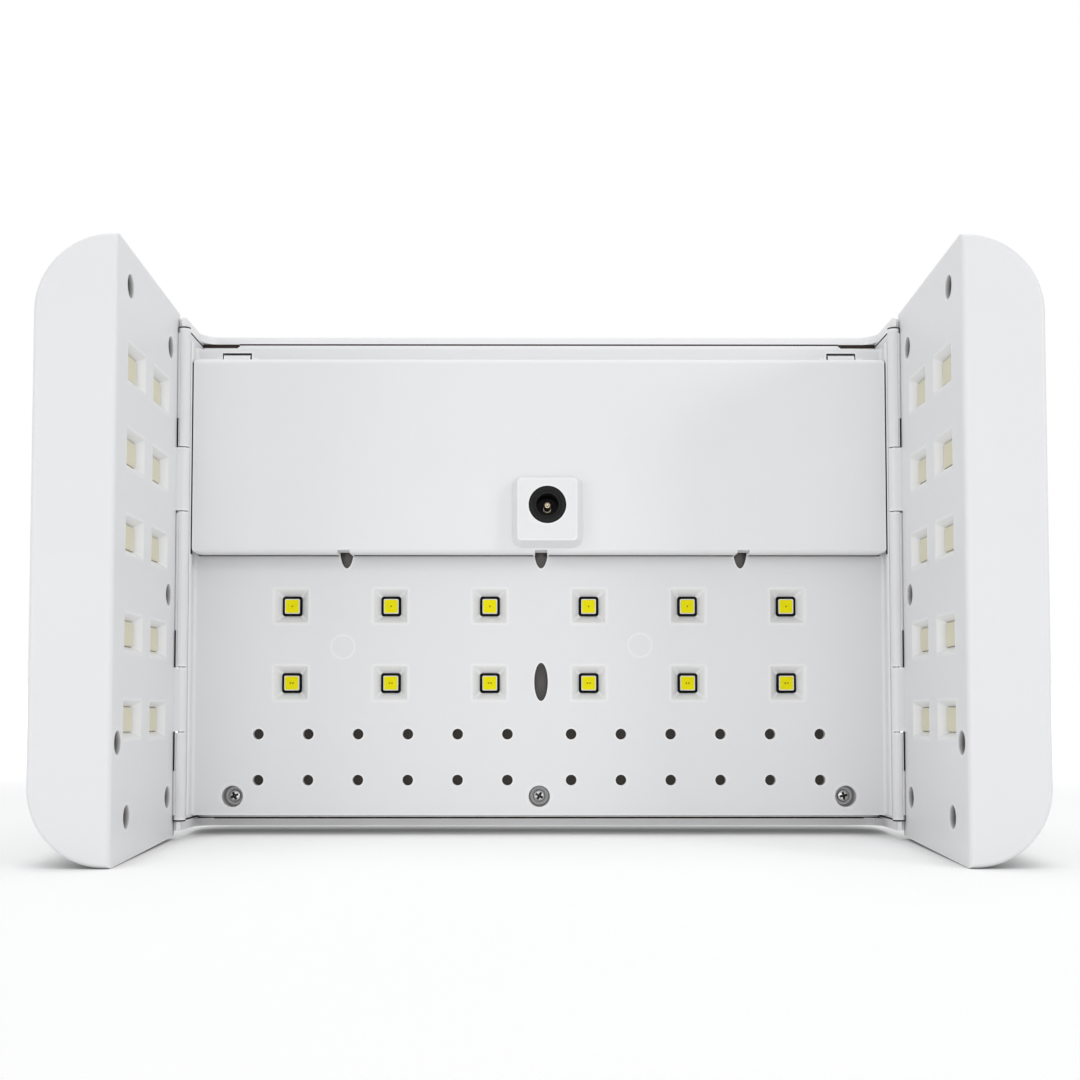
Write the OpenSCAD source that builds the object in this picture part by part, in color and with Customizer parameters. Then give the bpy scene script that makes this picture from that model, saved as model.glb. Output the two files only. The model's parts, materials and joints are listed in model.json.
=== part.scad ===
// Folding LED nail lamp, opened out: a centre body with a light panel, two light wings
// hinged at its short sides and a rear flap that carries the power socket.
// Each piece is drawn from the hinge plane and the middle of the lamp: x to the right,
// y away from the open side, z up. at_lamp() then moves it so that the whole lamp
// stands on z = 0 with its middle over the origin.

/* [Centre body] */
// Width over the side walls
body_w = 197.2; // [190:0.1:215]
// Height over the two long rims
body_h = 140; // [139:0.1:143]
// Depth from the hinge plane to the back face
body_depth = 38; // [36:0.1:45]
// How far the long rims lie behind the hinge plane
rim_setback = 21.5; // [20.5:0.1:22]
// Wall of the shell
shell_t = 2.1; // [1.6:0.1:2.6]
// Side walls of the shell and of the light panel
side_t = 1.8; // [1.4:0.1:2]
// Rounding of the shell's two long edges
shell_round = 16; // [12:0.5:16]
// Height of the ears that the side walls end in
ear_h = 2.6; // [2.3:0.1:2.8]
// Rounding where an ear meets the long rim
ear_fillet = 5.5; // [3:0.5:7]
// Gap between mouldings that are fitted together
fit_gap = 0.3; // [0.2:0.05:0.4]

/* [Light panel] */
// How far the panel's face lies behind the hinge plane
panel_setback = 13; // [12:0.1:13.5]
// Thickness of the panel
panel_t = 2.4; // [2.2:0.1:2.8]
// From the top of the shell down to the panel's top edge
panel_top_margin = 4.9; // [4.6:0.1:5.2]
// From the bottom of the shell up to the panel's bottom edge
panel_bottom_margin = 3.4; // [3.2:0.1:3.8]
// Wall of the panel's folded-back edges
skirt_t = 1.6; // [1.2:0.1:2]
// Length of the lower steps at both ends of the panel's top edge
edge_step_len = 11.7; // [8:0.1:16]
// Depth of those steps
edge_step = 0.5; // [0.2:0.1:0.8]

/* [Lights in the centre] */
// Lights in one row
led_columns = 6; // [4:2:6]
// Distance from column to column
led_col_pitch = 27.8; // [26:0.1:28.5]
// Rows of lights, the upper ones behind the flap
led_rows = 4; // [2:1:4]
// Height of the lowest row from the middle of the lamp
led_row_first = -29.8; // [-32:0.1:-28]
// Distance from row to row
led_row_pitch = 21.6; // [20:0.1:22]
// Width of a light pocket at the panel's face
pocket_w = 9.5; // [8.5:0.1:10.5]
// Width of a light pocket at its throat
pocket_throat = 5.7; // [5.3:0.1:6.4]
// Side of a square LED package
led_w = 4.6; // [4:0.1:5]
// Height of an LED package over its board
led_h = 1; // [0.8:0.1:1.4]
// Side of the yellow phosphor in a package
phosphor_w = 3.9; // [3:0.1:3.9]
// Thickness of every circuit board
board_t = 1.6; // [1:0.1:2]

/* [Vents and sensor windows] */
// Air holes on each side of the middle, in one row
vent_count = 6; // [3:1:6]
// Distance from the middle to the first air hole
vent_first = 8.9; // [7:0.1:10]
// Distance from air hole to air hole
vent_pitch = 13.9; // [12:0.1:14.2]
// Height of the lower row of air holes from the middle of the lamp
vent_row_first = -56.9; // [-57.2:0.1:-55]
// Distance between the two rows of air holes
vent_row_pitch = 12.8; // [10:0.1:13.5]
// Radius of an air hole
vent_r = 1.5; // [1:0.1:2]
// Width of an oval sensor window
oval_w = 3.8; // [3:0.1:4.4]
// Height of an oval sensor window
oval_h = 10.7; // [9:0.1:12]
// Places across of the three windows under the flap's edge
oval_row_x = [-54, 0.5, 56.4]; // [-57:0.1:57]
// Height of those three windows from the middle of the lamp
oval_row_z = 7.7; // [6:0.1:8.5]
// Place across of the lower window
oval_low_x = 0.5; // [-2:0.1:2]
// Height of the lower window from the middle of the lamp
oval_low_z = -29.5; // [-31:0.1:-28]

/* [Screws in the centre] */
// Distance of the outer panel screws from the middle
panel_screw_x = 85.5; // [83:0.1:87]
// Height of the lower panel screws from the middle of the lamp
panel_screw_z = -61.4; // [-61.6:0.1:-61]
// Height of the upper panel screws, behind the flap
upper_screw_z = 47.5; // [46:0.1:49]
// Radius of the wells that the panel screws sit in
panel_well_r = 3; // [2.6:0.1:3.2]
// Depth of those wells
panel_well_depth = 4.3; // [3.8:0.1:5]
// Radius of a screw's head
screw_head_r = 1.7; // [1.5:0.1:1.9]
// Height of a screw's head
screw_head_h = 1.3; // [1:0.1:1.5]
// Radius of a screw's thread
screw_r = 0.9; // [0.7:0.05:1]
// Length of the panel screws and wing screws under the head
screw_len = 8; // [6:0.5:9]

/* [Controls on the back] */
// Distance from button to button
button_pitch = 24; // [20:0.5:26]
// Height of the row of buttons from the middle of the lamp
button_z = -22; // [-23:0.5:-20]
// Radius of a button
button_r = 5; // [4:0.1:6]
// Gap round a button in its hole
button_gap = 0.15; // [0.1:0.05:0.25]
// How far a button stands out of the back face
button_rise = 0.8; // [0.5:0.1:1.2]
// Travel of a button
button_travel = 0.5; // [0.3:0.1:0.6]
// Width of the display window
window_w = 26; // [20:0.5:30]
// Height of the display window
window_h = 12; // [9:0.5:13]
// Height of the display's centre from the middle of the lamp
window_z = 0; // [-1:0.5:2]
// Width of the control board
control_w = 80; // [76:0.5:90]
// Distance from the control board to the inside of the back wall
control_gap = 6.9; // [6.6:0.1:7.6]

/* [Flap] */
// Width of the flap
flap_w = 190.8; // [188:0.1:190.8]
// Height of the flap
flap_h = 54.3; // [53:0.1:55]
// Thickness of the flap
flap_t = 7.6; // [7.4:0.1:8.4]
// From the top of the shell down to the flap's top edge
flap_top_margin = 9.9; // [9.8:0.1:11]
// Gap between the closed flap and the light panel
flap_gap = 0.4; // [0.3:0.05:0.6]
// Wall of the flap's front and sides
flap_wall = 1.8; // [1.4:0.1:2]
// Thickness of the flap's cover
flap_cover_t = 1.6; // [1.2:0.1:1.8]
// Rounding of the flap's upper front edge
flap_round_top = 2; // [1.2:0.1:2.2]
// Rounding of the flap's lower front edge
flap_round_bottom = 1.3; // [0.8:0.1:1.3]
// Rounding of the flap's corners, seen from the front
flap_corner = 1.3; // [0.8:0.1:1.6]
// Width of the flap's notches over the sensor windows
notch_w = 3.4; // [2.6:0.1:4]
// Height of those notches
notch_h = 0.9; // [0.6:0.1:1]
// How far the flap's pivot lies behind the panel's face
pivot_depth = 1; // [0.95:0.05:1.2]
// Distance of the flap's arms from the middle
arm_x = 85.3; // [84:0.1:86]
// Width of a flap arm
arm_w = 7.4; // [6:0.1:8]
// Radius of the eye at the end of a flap arm
arm_r = 1.7; // [1.5:0.05:1.8]
// Gap round a flap arm in its slot
arm_gap = 0.4; // [0.3:0.05:0.6]

/* [Power socket] */
// Place across of the socket
jack_x = 2.2; // [-3:0.1:4]
// Height of the socket over the flap's bottom edge
jack_z = 12.7; // [12:0.1:14]
// Radius of the socket's black ring
jack_r = 5.05; // [4.8:0.05:5.4]
// Radius of the hole that the plug goes into
socket_r = 3; // [2.8:0.05:3.2]
// Depth of the hole that the plug goes into
socket_depth = 9.5; // [8.5:0.1:9.6]
// Radius of the centre pin
jack_pin_r = 1.05; // [0.6:0.05:1.25]
// Width of the boss at the flap's face
boss_w = 19.3; // [18:0.1:22]
// Height of the boss at the flap's face
boss_h = 20; // [18.5:0.1:21]
// How far the boss stands out of the flap
boss_rise = 5.5; // [5:0.1:5.8]
// How much narrower the boss is at its front, on each side
boss_draft = 1.5; // [1:0.1:1.8]
// How far the boss's middle lies under the socket's
boss_drop = 1.3; // [0:0.1:1.6]
// Rounding of the boss's corners
boss_round = 2.6; // [1.5:0.1:3]

/* [Wings] */
// From the hinge plane to a wing's free end
wing_reach = 59.4; // [56:0.1:64]
// Thickness of a wing
wing_t = 19.8; // [19:0.1:23]
// Height of a wing at its free end
wing_end_h = 148.8; // [147:0.1:152]
// Height of a wing at its hinged end
wing_root_h = 143; // [142:0.1:144]
// Rounding of a wing's two outer edges
wing_round = 18.5; // [14:0.5:18.5]
// Wall of a wing's outer shell
wing_wall = 2; // [1.6:0.1:2.4]
// Thickness of a wing's inner face
cover_t = 2.2; // [2:0.1:2.4]
// Gap between an open wing and the body's side wall
wing_gap = 0.4; // [0.3:0.05:0.6]
// Heights of the rows of wing pockets from the middle of the lamp
wing_rows = [46.2, 25.4, 4.5, -19.1, -40]; // [-41:0.1:47]
// From the hinge plane to the nearer column of wing pockets
wing_col_first = 17.3; // [17:0.1:18]
// Distance between the two columns of wing pockets
wing_col_pitch = 24.2; // [24:0.1:25]
// Length of a wing pocket at the face
wing_pocket_l = 16.2; // [14:0.1:16.4]
// Height of a wing pocket at the face
wing_pocket_h = 9.2; // [8:0.1:10]
// How much a wing pocket narrows towards its throat, on each side
wing_pocket_draft = 1.5; // [1:0.1:1.8]
// Height of a wing emitter over its board
emitter_h = 1; // [0.8:0.1:1.2]
// Radius of the wing's screw wells
wing_well_r = 2.9; // [2.4:0.1:3]
// Depth of the wing's screw wells
wing_well_depth = 7.5; // [6.5:0.1:8.5]
// Screws near a wing's upper edge: from the hinge plane, and from that edge
wing_screws_high = [[47.8, 9.1], [7.4, 12]]; // [7:0.1:52]
// Screws near a wing's lower edge, measured alike
wing_screws_low = [[54, 28.7], [5.7, 11.2], [45.5, 10.4]]; // [5.6:0.1:54]
// The screw half-way up: from the hinge plane, and height from the lamp's middle
wing_screw_mid = [6.9, -6.7]; // [-7:0.1:8]

/* [Wing hinges] */
// Radius of the hinge barrel
barrel_r = 1.65; // [1.5:0.05:1.65]
// From a wing's face to its hinge axis
hinge_inset = 1.6; // [1.5:0.05:1.7]
// Gap between a folded wing and the body's ears
fold_gap = 0.4; // [0.3:0.05:0.5]
// Radius of a hinge pin
pin_r = 0.6; // [0.5:0.05:0.7]
// Gap round a pin in its bore
pin_gap = 0.06; // [0.04:0.01:0.08]
// Heights of the wing knuckles' middles from the middle of the lamp
knuckle_z = [25.5, -34.6]; // [-36:0.1:27]
// Length of a wing knuckle
knuckle_len = 17.3; // [14:0.1:19]
// Gap between neighbouring knuckles
knuckle_gap = 0.3; // [0.2:0.05:0.4]

/* [Hidden] */

// Smoothness of round walls, of holes and of small parts
wall_fn = 96;
hole_fn = 32;
// A cut reaches this far past the face that it opens
over = 1;
// Forms that are fused reach this far into each other
bite = 0.1;
sliver = 0.01;

// Where the lamp's middle goes
y_origin = (wing_reach - body_depth - button_rise) / 2;
z_origin = wing_end_h / 2;

// Centre body
side_x = body_w / 2;
inner_x = side_x - side_t;
top_z = body_h / 2;
back_inside = body_depth - shell_t;
rim_inside = top_z - shell_t;
ear_z = top_z - ear_h;

// Light panel
panel_back = panel_setback + panel_t;
panel_top = top_z - panel_top_margin;
panel_bottom = -top_z + panel_bottom_margin;
tray_z = ear_z - fit_gap;
flange_z = rim_inside - fit_gap;
flange_t = 1.6;
well_wall = 1;
well_floor = 1.5;
well_back = panel_setback + panel_well_depth + well_floor;
boss_r = 2.8;
boss_root = 0.6;
screw_gap = 0.05;
screw_pass = 0.3;
head_gap = 0.4;
pilot_spare = 1;
slot_top_gap = 0.4;

// Boards and lights
board_gap = 0.2;
led_board_y = panel_back + board_gap;
led_board_back = led_board_y + board_t;
led_board_edge = 10.5;
led_board_margin = 7.4;
phosphor_t = 0.5;
led_first_x = -(led_columns - 1) / 2 * led_col_pitch;
led_xs = [for (i = [0 : led_columns - 1]) led_first_x + i * led_col_pitch];
led_zs = [for (i = [0 : led_rows - 1]) led_row_first + i * led_row_pitch];
led_board_x = led_xs[led_columns - 1] + led_board_edge;
led_board_low = led_row_first - led_board_margin;
led_board_high = led_zs[led_rows - 1] + led_board_margin;
led_fix_inset = 2.7;
led_fix_x = led_board_x - led_fix_inset;
led_fix_zs = [
  led_board_low + led_board_margin, led_board_high - led_board_margin
];
fix_depth = 1.6;
vent_xs = [
  for (side = [-1, 1]) for (i = [0 : vent_count - 1]) side * (vent_first + i * vent_pitch)
];
vent_zs = [vent_row_first, vent_row_first + vent_row_pitch];
ovals = concat([for (x = oval_row_x) [x, oval_row_z]], [[oval_low_x, oval_low_z]]);
oval_step = 0.9;
oval_lip = 0.5;
window_sink = 0.5;
window_lens_t = 0.8;
glass_gap = 0.05;
sensor_w = 2.2;
sensor_l = 3.2;

// Screws of the panel
panel_screws_at = [
  for (z = [panel_screw_z, upper_screw_z]) for (x = [-panel_screw_x, 0, panel_screw_x]) [x, z]
];

// Controls
control_back = back_inside - control_gap;
control_front = control_back - board_t;
control_edge = 4;
control_foot = 10;
control_head = 8;
control_low = button_z - control_foot;
control_high = window_z + window_h / 2 + control_head;
control_screw_spare = 2;
control_pilot_floor = 1;
control_fix = [
  for (x = [-1, 1]) for (z = [control_low + control_edge, control_high - control_edge])
    [x * (control_w / 2 - control_edge), z]
];
button_xs = [-button_pitch, 0, button_pitch];
button_flange = 1.2;
button_flange_t = 0.9;
button_seat = back_inside - fit_gap;
button_under = button_seat - button_flange_t;
button_crown = 0.4;
switch_w = 6;
switch_h = 3.6;
switch_floor = 0.6;
plunger_r = 1.5;
plunger_bottom = control_back + switch_floor + button_travel + fit_gap;
window_round = 1.5;
window_lip = 1;
window_lip_t = 0.8;
display_inset = 1.4;
display_w = window_w - 2 * display_inset;
display_h = window_h - 2 * display_inset;
display_top = back_inside - window_lip_t - board_gap;

// Wing hinges
face_x = side_x + wing_gap;
hinge_x = face_x - hinge_inset;
hinge_y = hinge_inset - fold_gap;
wing_back = hinge_y + side_x - hinge_x;
barrel_gap = 0.3;
side_gap = 0.45;
side_front = hinge_y + barrel_r + side_gap;
web_t = 1.6;
bore_r = pin_r + pin_gap;
pin_end = 0.4;
knuckle_cuts = [
  for (z = knuckle_z) [z - knuckle_len / 2 - knuckle_gap, z + knuckle_len / 2 + knuckle_gap]
];
centre_knuckles = [
  [-tray_z, knuckle_cuts[1][0]],
  [knuckle_cuts[1][1], knuckle_cuts[0][0]],
  [knuckle_cuts[0][1], tray_z]
];
ear_chamfer = 0.7;

// Flap
flap_back = panel_setback - flap_gap;
flap_face = flap_back - flap_t;
flap_top = top_z - flap_top_margin;
flap_bottom = flap_top - flap_h;
flap_x = flap_w / 2;
arm_root = 3;
arm_foot = 1;
cover_face = flap_back - flap_cover_t;
cover_gap = 0.15;
pivot_y = panel_setback + pivot_depth;
open_gap = 0.2;
pivot_z = flap_top + pivot_y - panel_setback + open_gap;
slot_top = pivot_z + arm_r + slot_top_gap;
slot_foot = 2.7;
slot_bottom = flap_top - slot_foot;
slot_x0 = arm_x - arm_w / 2 - arm_gap;
slot_x1 = arm_x + arm_w / 2 + arm_gap;
pivot_grip = 1.8;
flap_screw_inset = 6;
flap_screws_at = [
  for (x = [-flap_x + flap_screw_inset, -flap_x / 3, flap_x / 3, flap_x - flap_screw_inset])
    for (z = [flap_bottom + flap_screw_inset, flap_top - flap_screw_inset]) [x, z]
];
flap_well_r = screw_head_r + head_gap;
flap_well_wall = 0.7;
flap_well_depth = 2;
flap_well_floor = 1;
flap_boss_r = 2.4;
flap_screw_len = 2.6;

// Power socket
boss_front = flap_face - boss_rise;
boss_wall = 1.8;
boss_x = jack_x;
boss_z = flap_bottom + jack_z - boss_drop;
jack_at = [jack_x, flap_bottom + jack_z];
jack_flange = 0.7;
jack_flange_t = 1.5;
jack_gap = 0.1;
jack_back = cover_face - jack_gap;
jack_pin_short = 0.8;
jack_pin_root = 1;

// Wings, measured outwards from their inner face
flare = atan((wing_end_h - wing_root_h) / 2 / (wing_reach + wing_back));
end_t = 2;
seam = 0.1;
wing_board_u = cover_t + board_gap;
wing_cols = [-wing_col_first, -wing_col_first - wing_col_pitch];
emitter_gap = 0.2;
wing_board_margin = 5;
wing_screws_at = concat(
  [for (p = wing_screws_high) [-p[0], wing_half(-p[0]) - p[1]]],
  [for (p = wing_screws_low) [-p[0], p[1] - wing_half(-p[0])]],
  [[-wing_screw_mid[0], wing_screw_mid[1]]]
);
wing_well_back = wing_well_depth + well_floor;
wing_head_r = 2.2;

// Helpers

module at_lamp() {
  translate([0, y_origin, z_origin]) children();
}

// A flat shape drawn in y and z, carried from x0 to x1
module along_x(x0, x1) {
  translate([x0, 0, 0]) rotate([90, 0, 90]) linear_extrude(x1 - x0) children();
}

// A flat shape drawn in x and z, carried from y0 to y1
module along_y(y0, y1) {
  translate([0, y1, 0]) rotate([90, 0, 0]) linear_extrude(y1 - y0) children();
}

module box(x0, x1, y0, y1, z0, z1) {
  translate([x0, y0, z0]) cube([x1 - x0, y1 - y0, z1 - z0]);
}

module round_x(y, z, r, x0, x1, fn = hole_fn) {
  translate([x0, y, z]) rotate([0, 90, 0]) cylinder(r = r, h = x1 - x0, $fn = fn);
}

module round_y(x, z, r, y0, y1, fn = hole_fn) {
  translate([x, y1, z]) rotate([90, 0, 0]) cylinder(r = r, h = y1 - y0, $fn = fn);
}

module round_z(x, y, r, z0, z1, fn = hole_fn) {
  translate([x, y, z0]) cylinder(r = r, h = z1 - z0, $fn = fn);
}

module both_sides() {
  children();
  mirror([1, 0, 0]) children();
}

module rounded(w, h, r) {
  for (x = [-1, 1]) for (y = [-1, 1])
    translate([x * (w / 2 - r), y * (h / 2 - r)]) circle(r, $fn = hole_fn);
  square([w - 2 * r, h], center = true);
  square([w, h - 2 * r], center = true);
}

function oval_points(w, h, n = 40) = [
  for (i = [0 : n - 1]) [w / 2 * cos(360 * i / n), h / 2 * sin(360 * i / n)]
];

// A pan-head screw with a cross, its head's top at y0 and its point towards +y
module screw_y(x, z, y0, head_r, len) {
  rim_h = screw_head_h * 0.65;
  crown_h = screw_head_h - rim_h;
  crown_r = head_r * 0.72;
  tip_r = screw_r * 0.3;
  cross_w = head_r * 0.34;
  cross_l = head_r * 1.35;
  cross_d = screw_head_h * 0.6;
  translate([x, y0, z]) rotate([-90, 0, 0]) difference() {
    union() {
      cylinder(r1 = crown_r, r2 = head_r, h = crown_h, $fn = hole_fn);
      translate([0, 0, crown_h]) cylinder(r = head_r, h = rim_h, $fn = hole_fn);
      translate([0, 0, screw_head_h]) cylinder(r = screw_r, h = len - screw_r, $fn = hole_fn);
      translate([0, 0, screw_head_h + len - screw_r])
        cylinder(r1 = screw_r, r2 = tip_r, h = screw_r, $fn = hole_fn);
    }
    for (a = [0, 90]) rotate([0, 0, a])
      translate([-cross_l / 2, -cross_w / 2, -over]) cube([cross_l, cross_w, over + cross_d]);
  }
}

// Centre shell

// Section of the shell in y and z, drawn inset by e from its outer faces
module shell_section(e) {
  r = shell_round - e;
  flat_y = body_depth - shell_round;
  flat_z = top_z - shell_round;
  translate([-over, -top_z + e]) square([flat_y + over, 2 * (top_z - e)]);
  translate([0, -flat_z]) square([body_depth - e, 2 * flat_z]);
  for (s = [-1, 1]) translate([flat_y, s * flat_z]) circle(r, $fn = wall_fn);
}

module ear_fillets() {
  for (z = [-top_z, rim_inside])
    translate([inner_x - ear_fillet, rim_setback - ear_fillet, z])
      linear_extrude(shell_t) difference() {
        square(ear_fillet + sliver);
        circle(ear_fillet, $fn = hole_fn);
      }
}

module shell_bosses() {
  intersection() {
    along_x(-side_x, side_x) shell_section(boss_root);
    union() {
      for (p = panel_screws_at) round_y(p[0], p[1], boss_r, well_back, body_depth);
      for (p = control_fix) round_y(p[0], p[1], boss_r, control_back, body_depth - shell_t / 2);
    }
  }
}

module centre_shell() {
  color("#f3f4f6") at_lamp() difference() {
    union() {
      difference() {
        intersection() {
          along_x(-side_x, side_x) shell_section(0);
          box(-side_x, side_x, 0, body_depth, -top_z, top_z);
        }
        along_x(-inner_x, inner_x) shell_section(shell_t);
        box(-inner_x, inner_x, -over, rim_setback, -top_z - over, top_z + over);
        box(-side_x - over, side_x + over, -over, rim_setback, -ear_z, ear_z);
        both_sides() translate([side_x, 0, -top_z - over]) rotate([0, 0, 45])
          translate([-ear_chamfer / sqrt(2), -ear_chamfer / sqrt(2) * 2, 0])
            cube([ear_chamfer * sqrt(2), ear_chamfer * sqrt(2) * 2, body_h + 2 * over]);
      }
      both_sides() ear_fillets();
      shell_bosses();
    }
    pilot = screw_len + pilot_spare;
    for (p = panel_screws_at)
      round_y(p[0], p[1], screw_r + screw_gap, well_back - over, well_back + pilot);
    for (p = control_fix)
      round_y(p[0], p[1], screw_r + screw_gap, control_back - over,
              back_inside - control_pilot_floor);
    for (x = button_xs)
      round_y(x, button_z, button_r + button_gap, back_inside - over, body_depth + over, wall_fn);
    along_y(back_inside - over, body_depth + over)
      translate([0, window_z]) rounded(window_w, window_h, window_round);
  }
}

// Light panel

// Tapered cuts for a grid of pockets: one set of troughs per column, one per row
module led_pockets() {
  mouth = pocket_w / 2;
  throat = pocket_throat / 2;
  slope = (mouth - throat) / panel_t;
  wide = mouth + slope * over;
  thin = throat - slope * over;
  y0 = panel_setback - over;
  y1 = panel_back + over;
  intersection() {
    for (x = led_xs)
      translate([x, 0, panel_bottom]) linear_extrude(panel_top - panel_bottom)
        polygon([[-wide, y0], [wide, y0], [thin, y1], [-thin, y1]]);
    for (z = led_zs)
      along_x(-inner_x, inner_x)
        translate([0, z]) polygon([[y0, -wide], [y0, wide], [y1, thin], [y1, -thin]]);
  }
}

module centre_knuckle(z0, z1) {
  round_z(hinge_x, hinge_y, barrel_r, z0, z1);
  box(inner_x, inner_x + web_t, hinge_y, side_front + bite, z0, z1);
}

module panel_edges() {
  box(-inner_x, inner_x, panel_setback, rim_setback - fit_gap, panel_top - skirt_t, panel_top);
  box(-inner_x, inner_x, panel_setback, rim_setback - fit_gap, panel_bottom,
      panel_bottom + skirt_t);
  flange_x = inner_x - fit_gap;
  flange_y = rim_setback - fit_gap;
  box(-flange_x, flange_x, flange_y, flange_y + flange_t, panel_top - skirt_t, flange_z);
  box(-flange_x, flange_x, flange_y, flange_y + flange_t, -flange_z, panel_bottom + skirt_t);
}

module light_panel() {
  color("#eceef1") at_lamp() difference() {
    union() {
      box(-inner_x, inner_x, panel_setback, panel_back, panel_bottom, panel_top);
      panel_edges();
      both_sides() {
        box(inner_x, side_x, side_front, rim_setback - fit_gap, -tray_z, tray_z);
        for (k = centre_knuckles) centre_knuckle(k[0], k[1]);
      }
      for (p = panel_screws_at)
        round_y(p[0], p[1], panel_well_r + well_wall, panel_back - bite, well_back);
    }
    both_sides() {
      round_z(hinge_x, hinge_y, bore_r, -tray_z - over, tray_z + over);
      box(slot_x0, slot_x1, panel_setback - over, panel_back + over, slot_bottom, slot_top);
      round_x(pivot_y, pivot_z, bore_r, slot_x0 - pivot_grip, slot_x1 + pivot_grip);
      box(inner_x - edge_step_len, inner_x + sliver, panel_setback - over, rim_setback - fit_gap,
          panel_top - edge_step, panel_top + over);
    }
    led_pockets();
    for (x = vent_xs) for (z = vent_zs)
      round_y(x, z, vent_r, panel_setback - over, panel_back + over);
    for (p = ovals) {
      along_y(panel_setback - over, panel_back + over)
        translate(p) polygon(oval_points(oval_w, oval_h));
      along_y(panel_setback + oval_step, panel_back + over)
        translate(p) polygon(oval_points(oval_w + 2 * oval_lip, oval_h + 2 * oval_lip));
    }
    for (p = panel_screws_at) {
      round_y(p[0], p[1], panel_well_r, panel_setback - over, panel_setback + panel_well_depth);
      round_y(p[0], p[1], screw_r + screw_pass, panel_setback, well_back + over);
    }
    for (x = [-led_fix_x, led_fix_x]) for (z = led_fix_zs)
      round_y(x, z, screw_r + screw_gap, panel_back - fix_depth, panel_back + over);
  }
}

// Lights of the centre

module centre_led_board() {
  color("#23262b") at_lamp() difference() {
    box(-led_board_x, led_board_x, led_board_y, led_board_back, led_board_low, led_board_high);
    for (x = [-led_fix_x, led_fix_x]) for (z = led_fix_zs)
      round_y(x, z, screw_r + screw_pass, led_board_y - over, led_board_back + over);
  }
}

module centre_led_bodies() {
  color("#f4f4ee") at_lamp() for (x = led_xs) for (z = led_zs)
    difference() {
      box(x - led_w / 2, x + led_w / 2, led_board_y - led_h, led_board_y, z - led_w / 2,
          z + led_w / 2);
      box(x - phosphor_w / 2, x + phosphor_w / 2, led_board_y - led_h - over,
          led_board_y - led_h + phosphor_t, z - phosphor_w / 2, z + phosphor_w / 2);
    }
}

module centre_led_phosphors() {
  color("#e6d61c") at_lamp() for (x = led_xs) for (z = led_zs)
    box(x - phosphor_w / 2, x + phosphor_w / 2, led_board_y - led_h,
        led_board_y - led_h + phosphor_t, z - phosphor_w / 2, z + phosphor_w / 2);
}

module led_board_screws() {
  color("#9a9da1") at_lamp() for (x = [-led_fix_x, led_fix_x]) for (z = led_fix_zs)
    translate([0, 2 * (led_board_back + screw_head_h), 0]) mirror([0, 1, 0])
      screw_y(x, z, led_board_back + screw_head_h, screw_head_r, board_t + fix_depth);
}

module sensor_windows() {
  step_y = panel_setback + oval_step;
  lip = oval_lip - glass_gap;
  color("#0c0d10") at_lamp() for (p = ovals) {
    along_y(panel_setback + window_sink, step_y) translate(p)
      polygon(oval_points(oval_w - 2 * glass_gap, oval_h - 2 * glass_gap));
    along_y(step_y, step_y + window_lens_t) translate(p)
      polygon(oval_points(oval_w + 2 * lip, oval_h + 2 * lip));
  }
}

module hand_sensors() {
  front = panel_setback + oval_step + window_lens_t;
  color("#16171a") at_lamp() for (p = ovals)
    box(p[0] - sensor_w / 2, p[0] + sensor_w / 2, front, led_board_y, p[1] - sensor_l / 2,
        p[1] + sensor_l / 2);
}

module panel_screws() {
  seat = panel_setback + panel_well_depth;
  color("#b9bcc0") at_lamp() for (p = panel_screws_at)
    screw_y(p[0], p[1], seat - screw_head_h, screw_head_r, screw_len);
}

// Controls

module control_board() {
  color("#2f6b45") at_lamp() difference() {
    box(-control_w / 2, control_w / 2, control_front, control_back, control_low, control_high);
    for (p = control_fix)
      round_y(p[0], p[1], screw_r + screw_pass, control_front - over, control_back + over);
  }
}

module control_board_screws() {
  len = board_t + control_gap - control_screw_spare;
  color("#9a9da1") at_lamp() for (p = control_fix)
    screw_y(p[0], p[1], control_front - screw_head_h, screw_head_r, len);
}

module button_switches() {
  top = control_back + switch_h;
  color("#3a3d42") at_lamp() for (x = button_xs) difference() {
    box(x - switch_w / 2, x + switch_w / 2, control_back, top, button_z - switch_w / 2,
        button_z + switch_w / 2);
    round_y(x, button_z, plunger_r + pin_gap, control_back + switch_floor, top + over);
  }
}

module button_cap(x) {
  front = body_depth + button_rise;
  color("#e4e7ea") at_lamp() translate([x, 0, button_z]) rotate([-90, 0, 0])
    rotate_extrude($fn = wall_fn) polygon([
      [0, button_under], [button_r + button_flange, button_under],
      [button_r + button_flange, button_seat], [button_r, button_seat],
      [button_r, front - button_crown], [button_r - button_crown, front], [0, front]
    ]);
}

module plunger(x) {
  color("#1d1f22") at_lamp() round_y(x, button_z, plunger_r, plunger_bottom, button_under);
}

module left_button() button_cap(-button_pitch);
module middle_button() button_cap(0);
module right_button() button_cap(button_pitch);
module left_plunger() plunger(-button_pitch);
module middle_plunger() plunger(0);
module right_plunger() plunger(button_pitch);

module display_window() {
  color("#15181c") at_lamp() translate([0, 0, window_z]) {
    along_y(back_inside, body_depth)
      rounded(window_w - 2 * glass_gap, window_h - 2 * glass_gap, window_round - glass_gap);
    along_y(back_inside - window_lip_t, back_inside)
      rounded(window_w + 2 * window_lip, window_h + 2 * window_lip, window_round + window_lip);
  }
}

module display_module() {
  color("#2b2e33") at_lamp()
    box(-display_w / 2, display_w / 2, control_back, display_top, window_z - display_h / 2,
        window_z + display_h / 2);
}

// Hinge pins

module hinge_pin() {
  color("#a9acb0") at_lamp()
    round_z(hinge_x, hinge_y, pin_r, -tray_z + pin_end, tray_z - pin_end);
}

module right_hinge_pin() hinge_pin();
module left_hinge_pin() mirror([1, 0, 0]) hinge_pin();

// Flap

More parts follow.
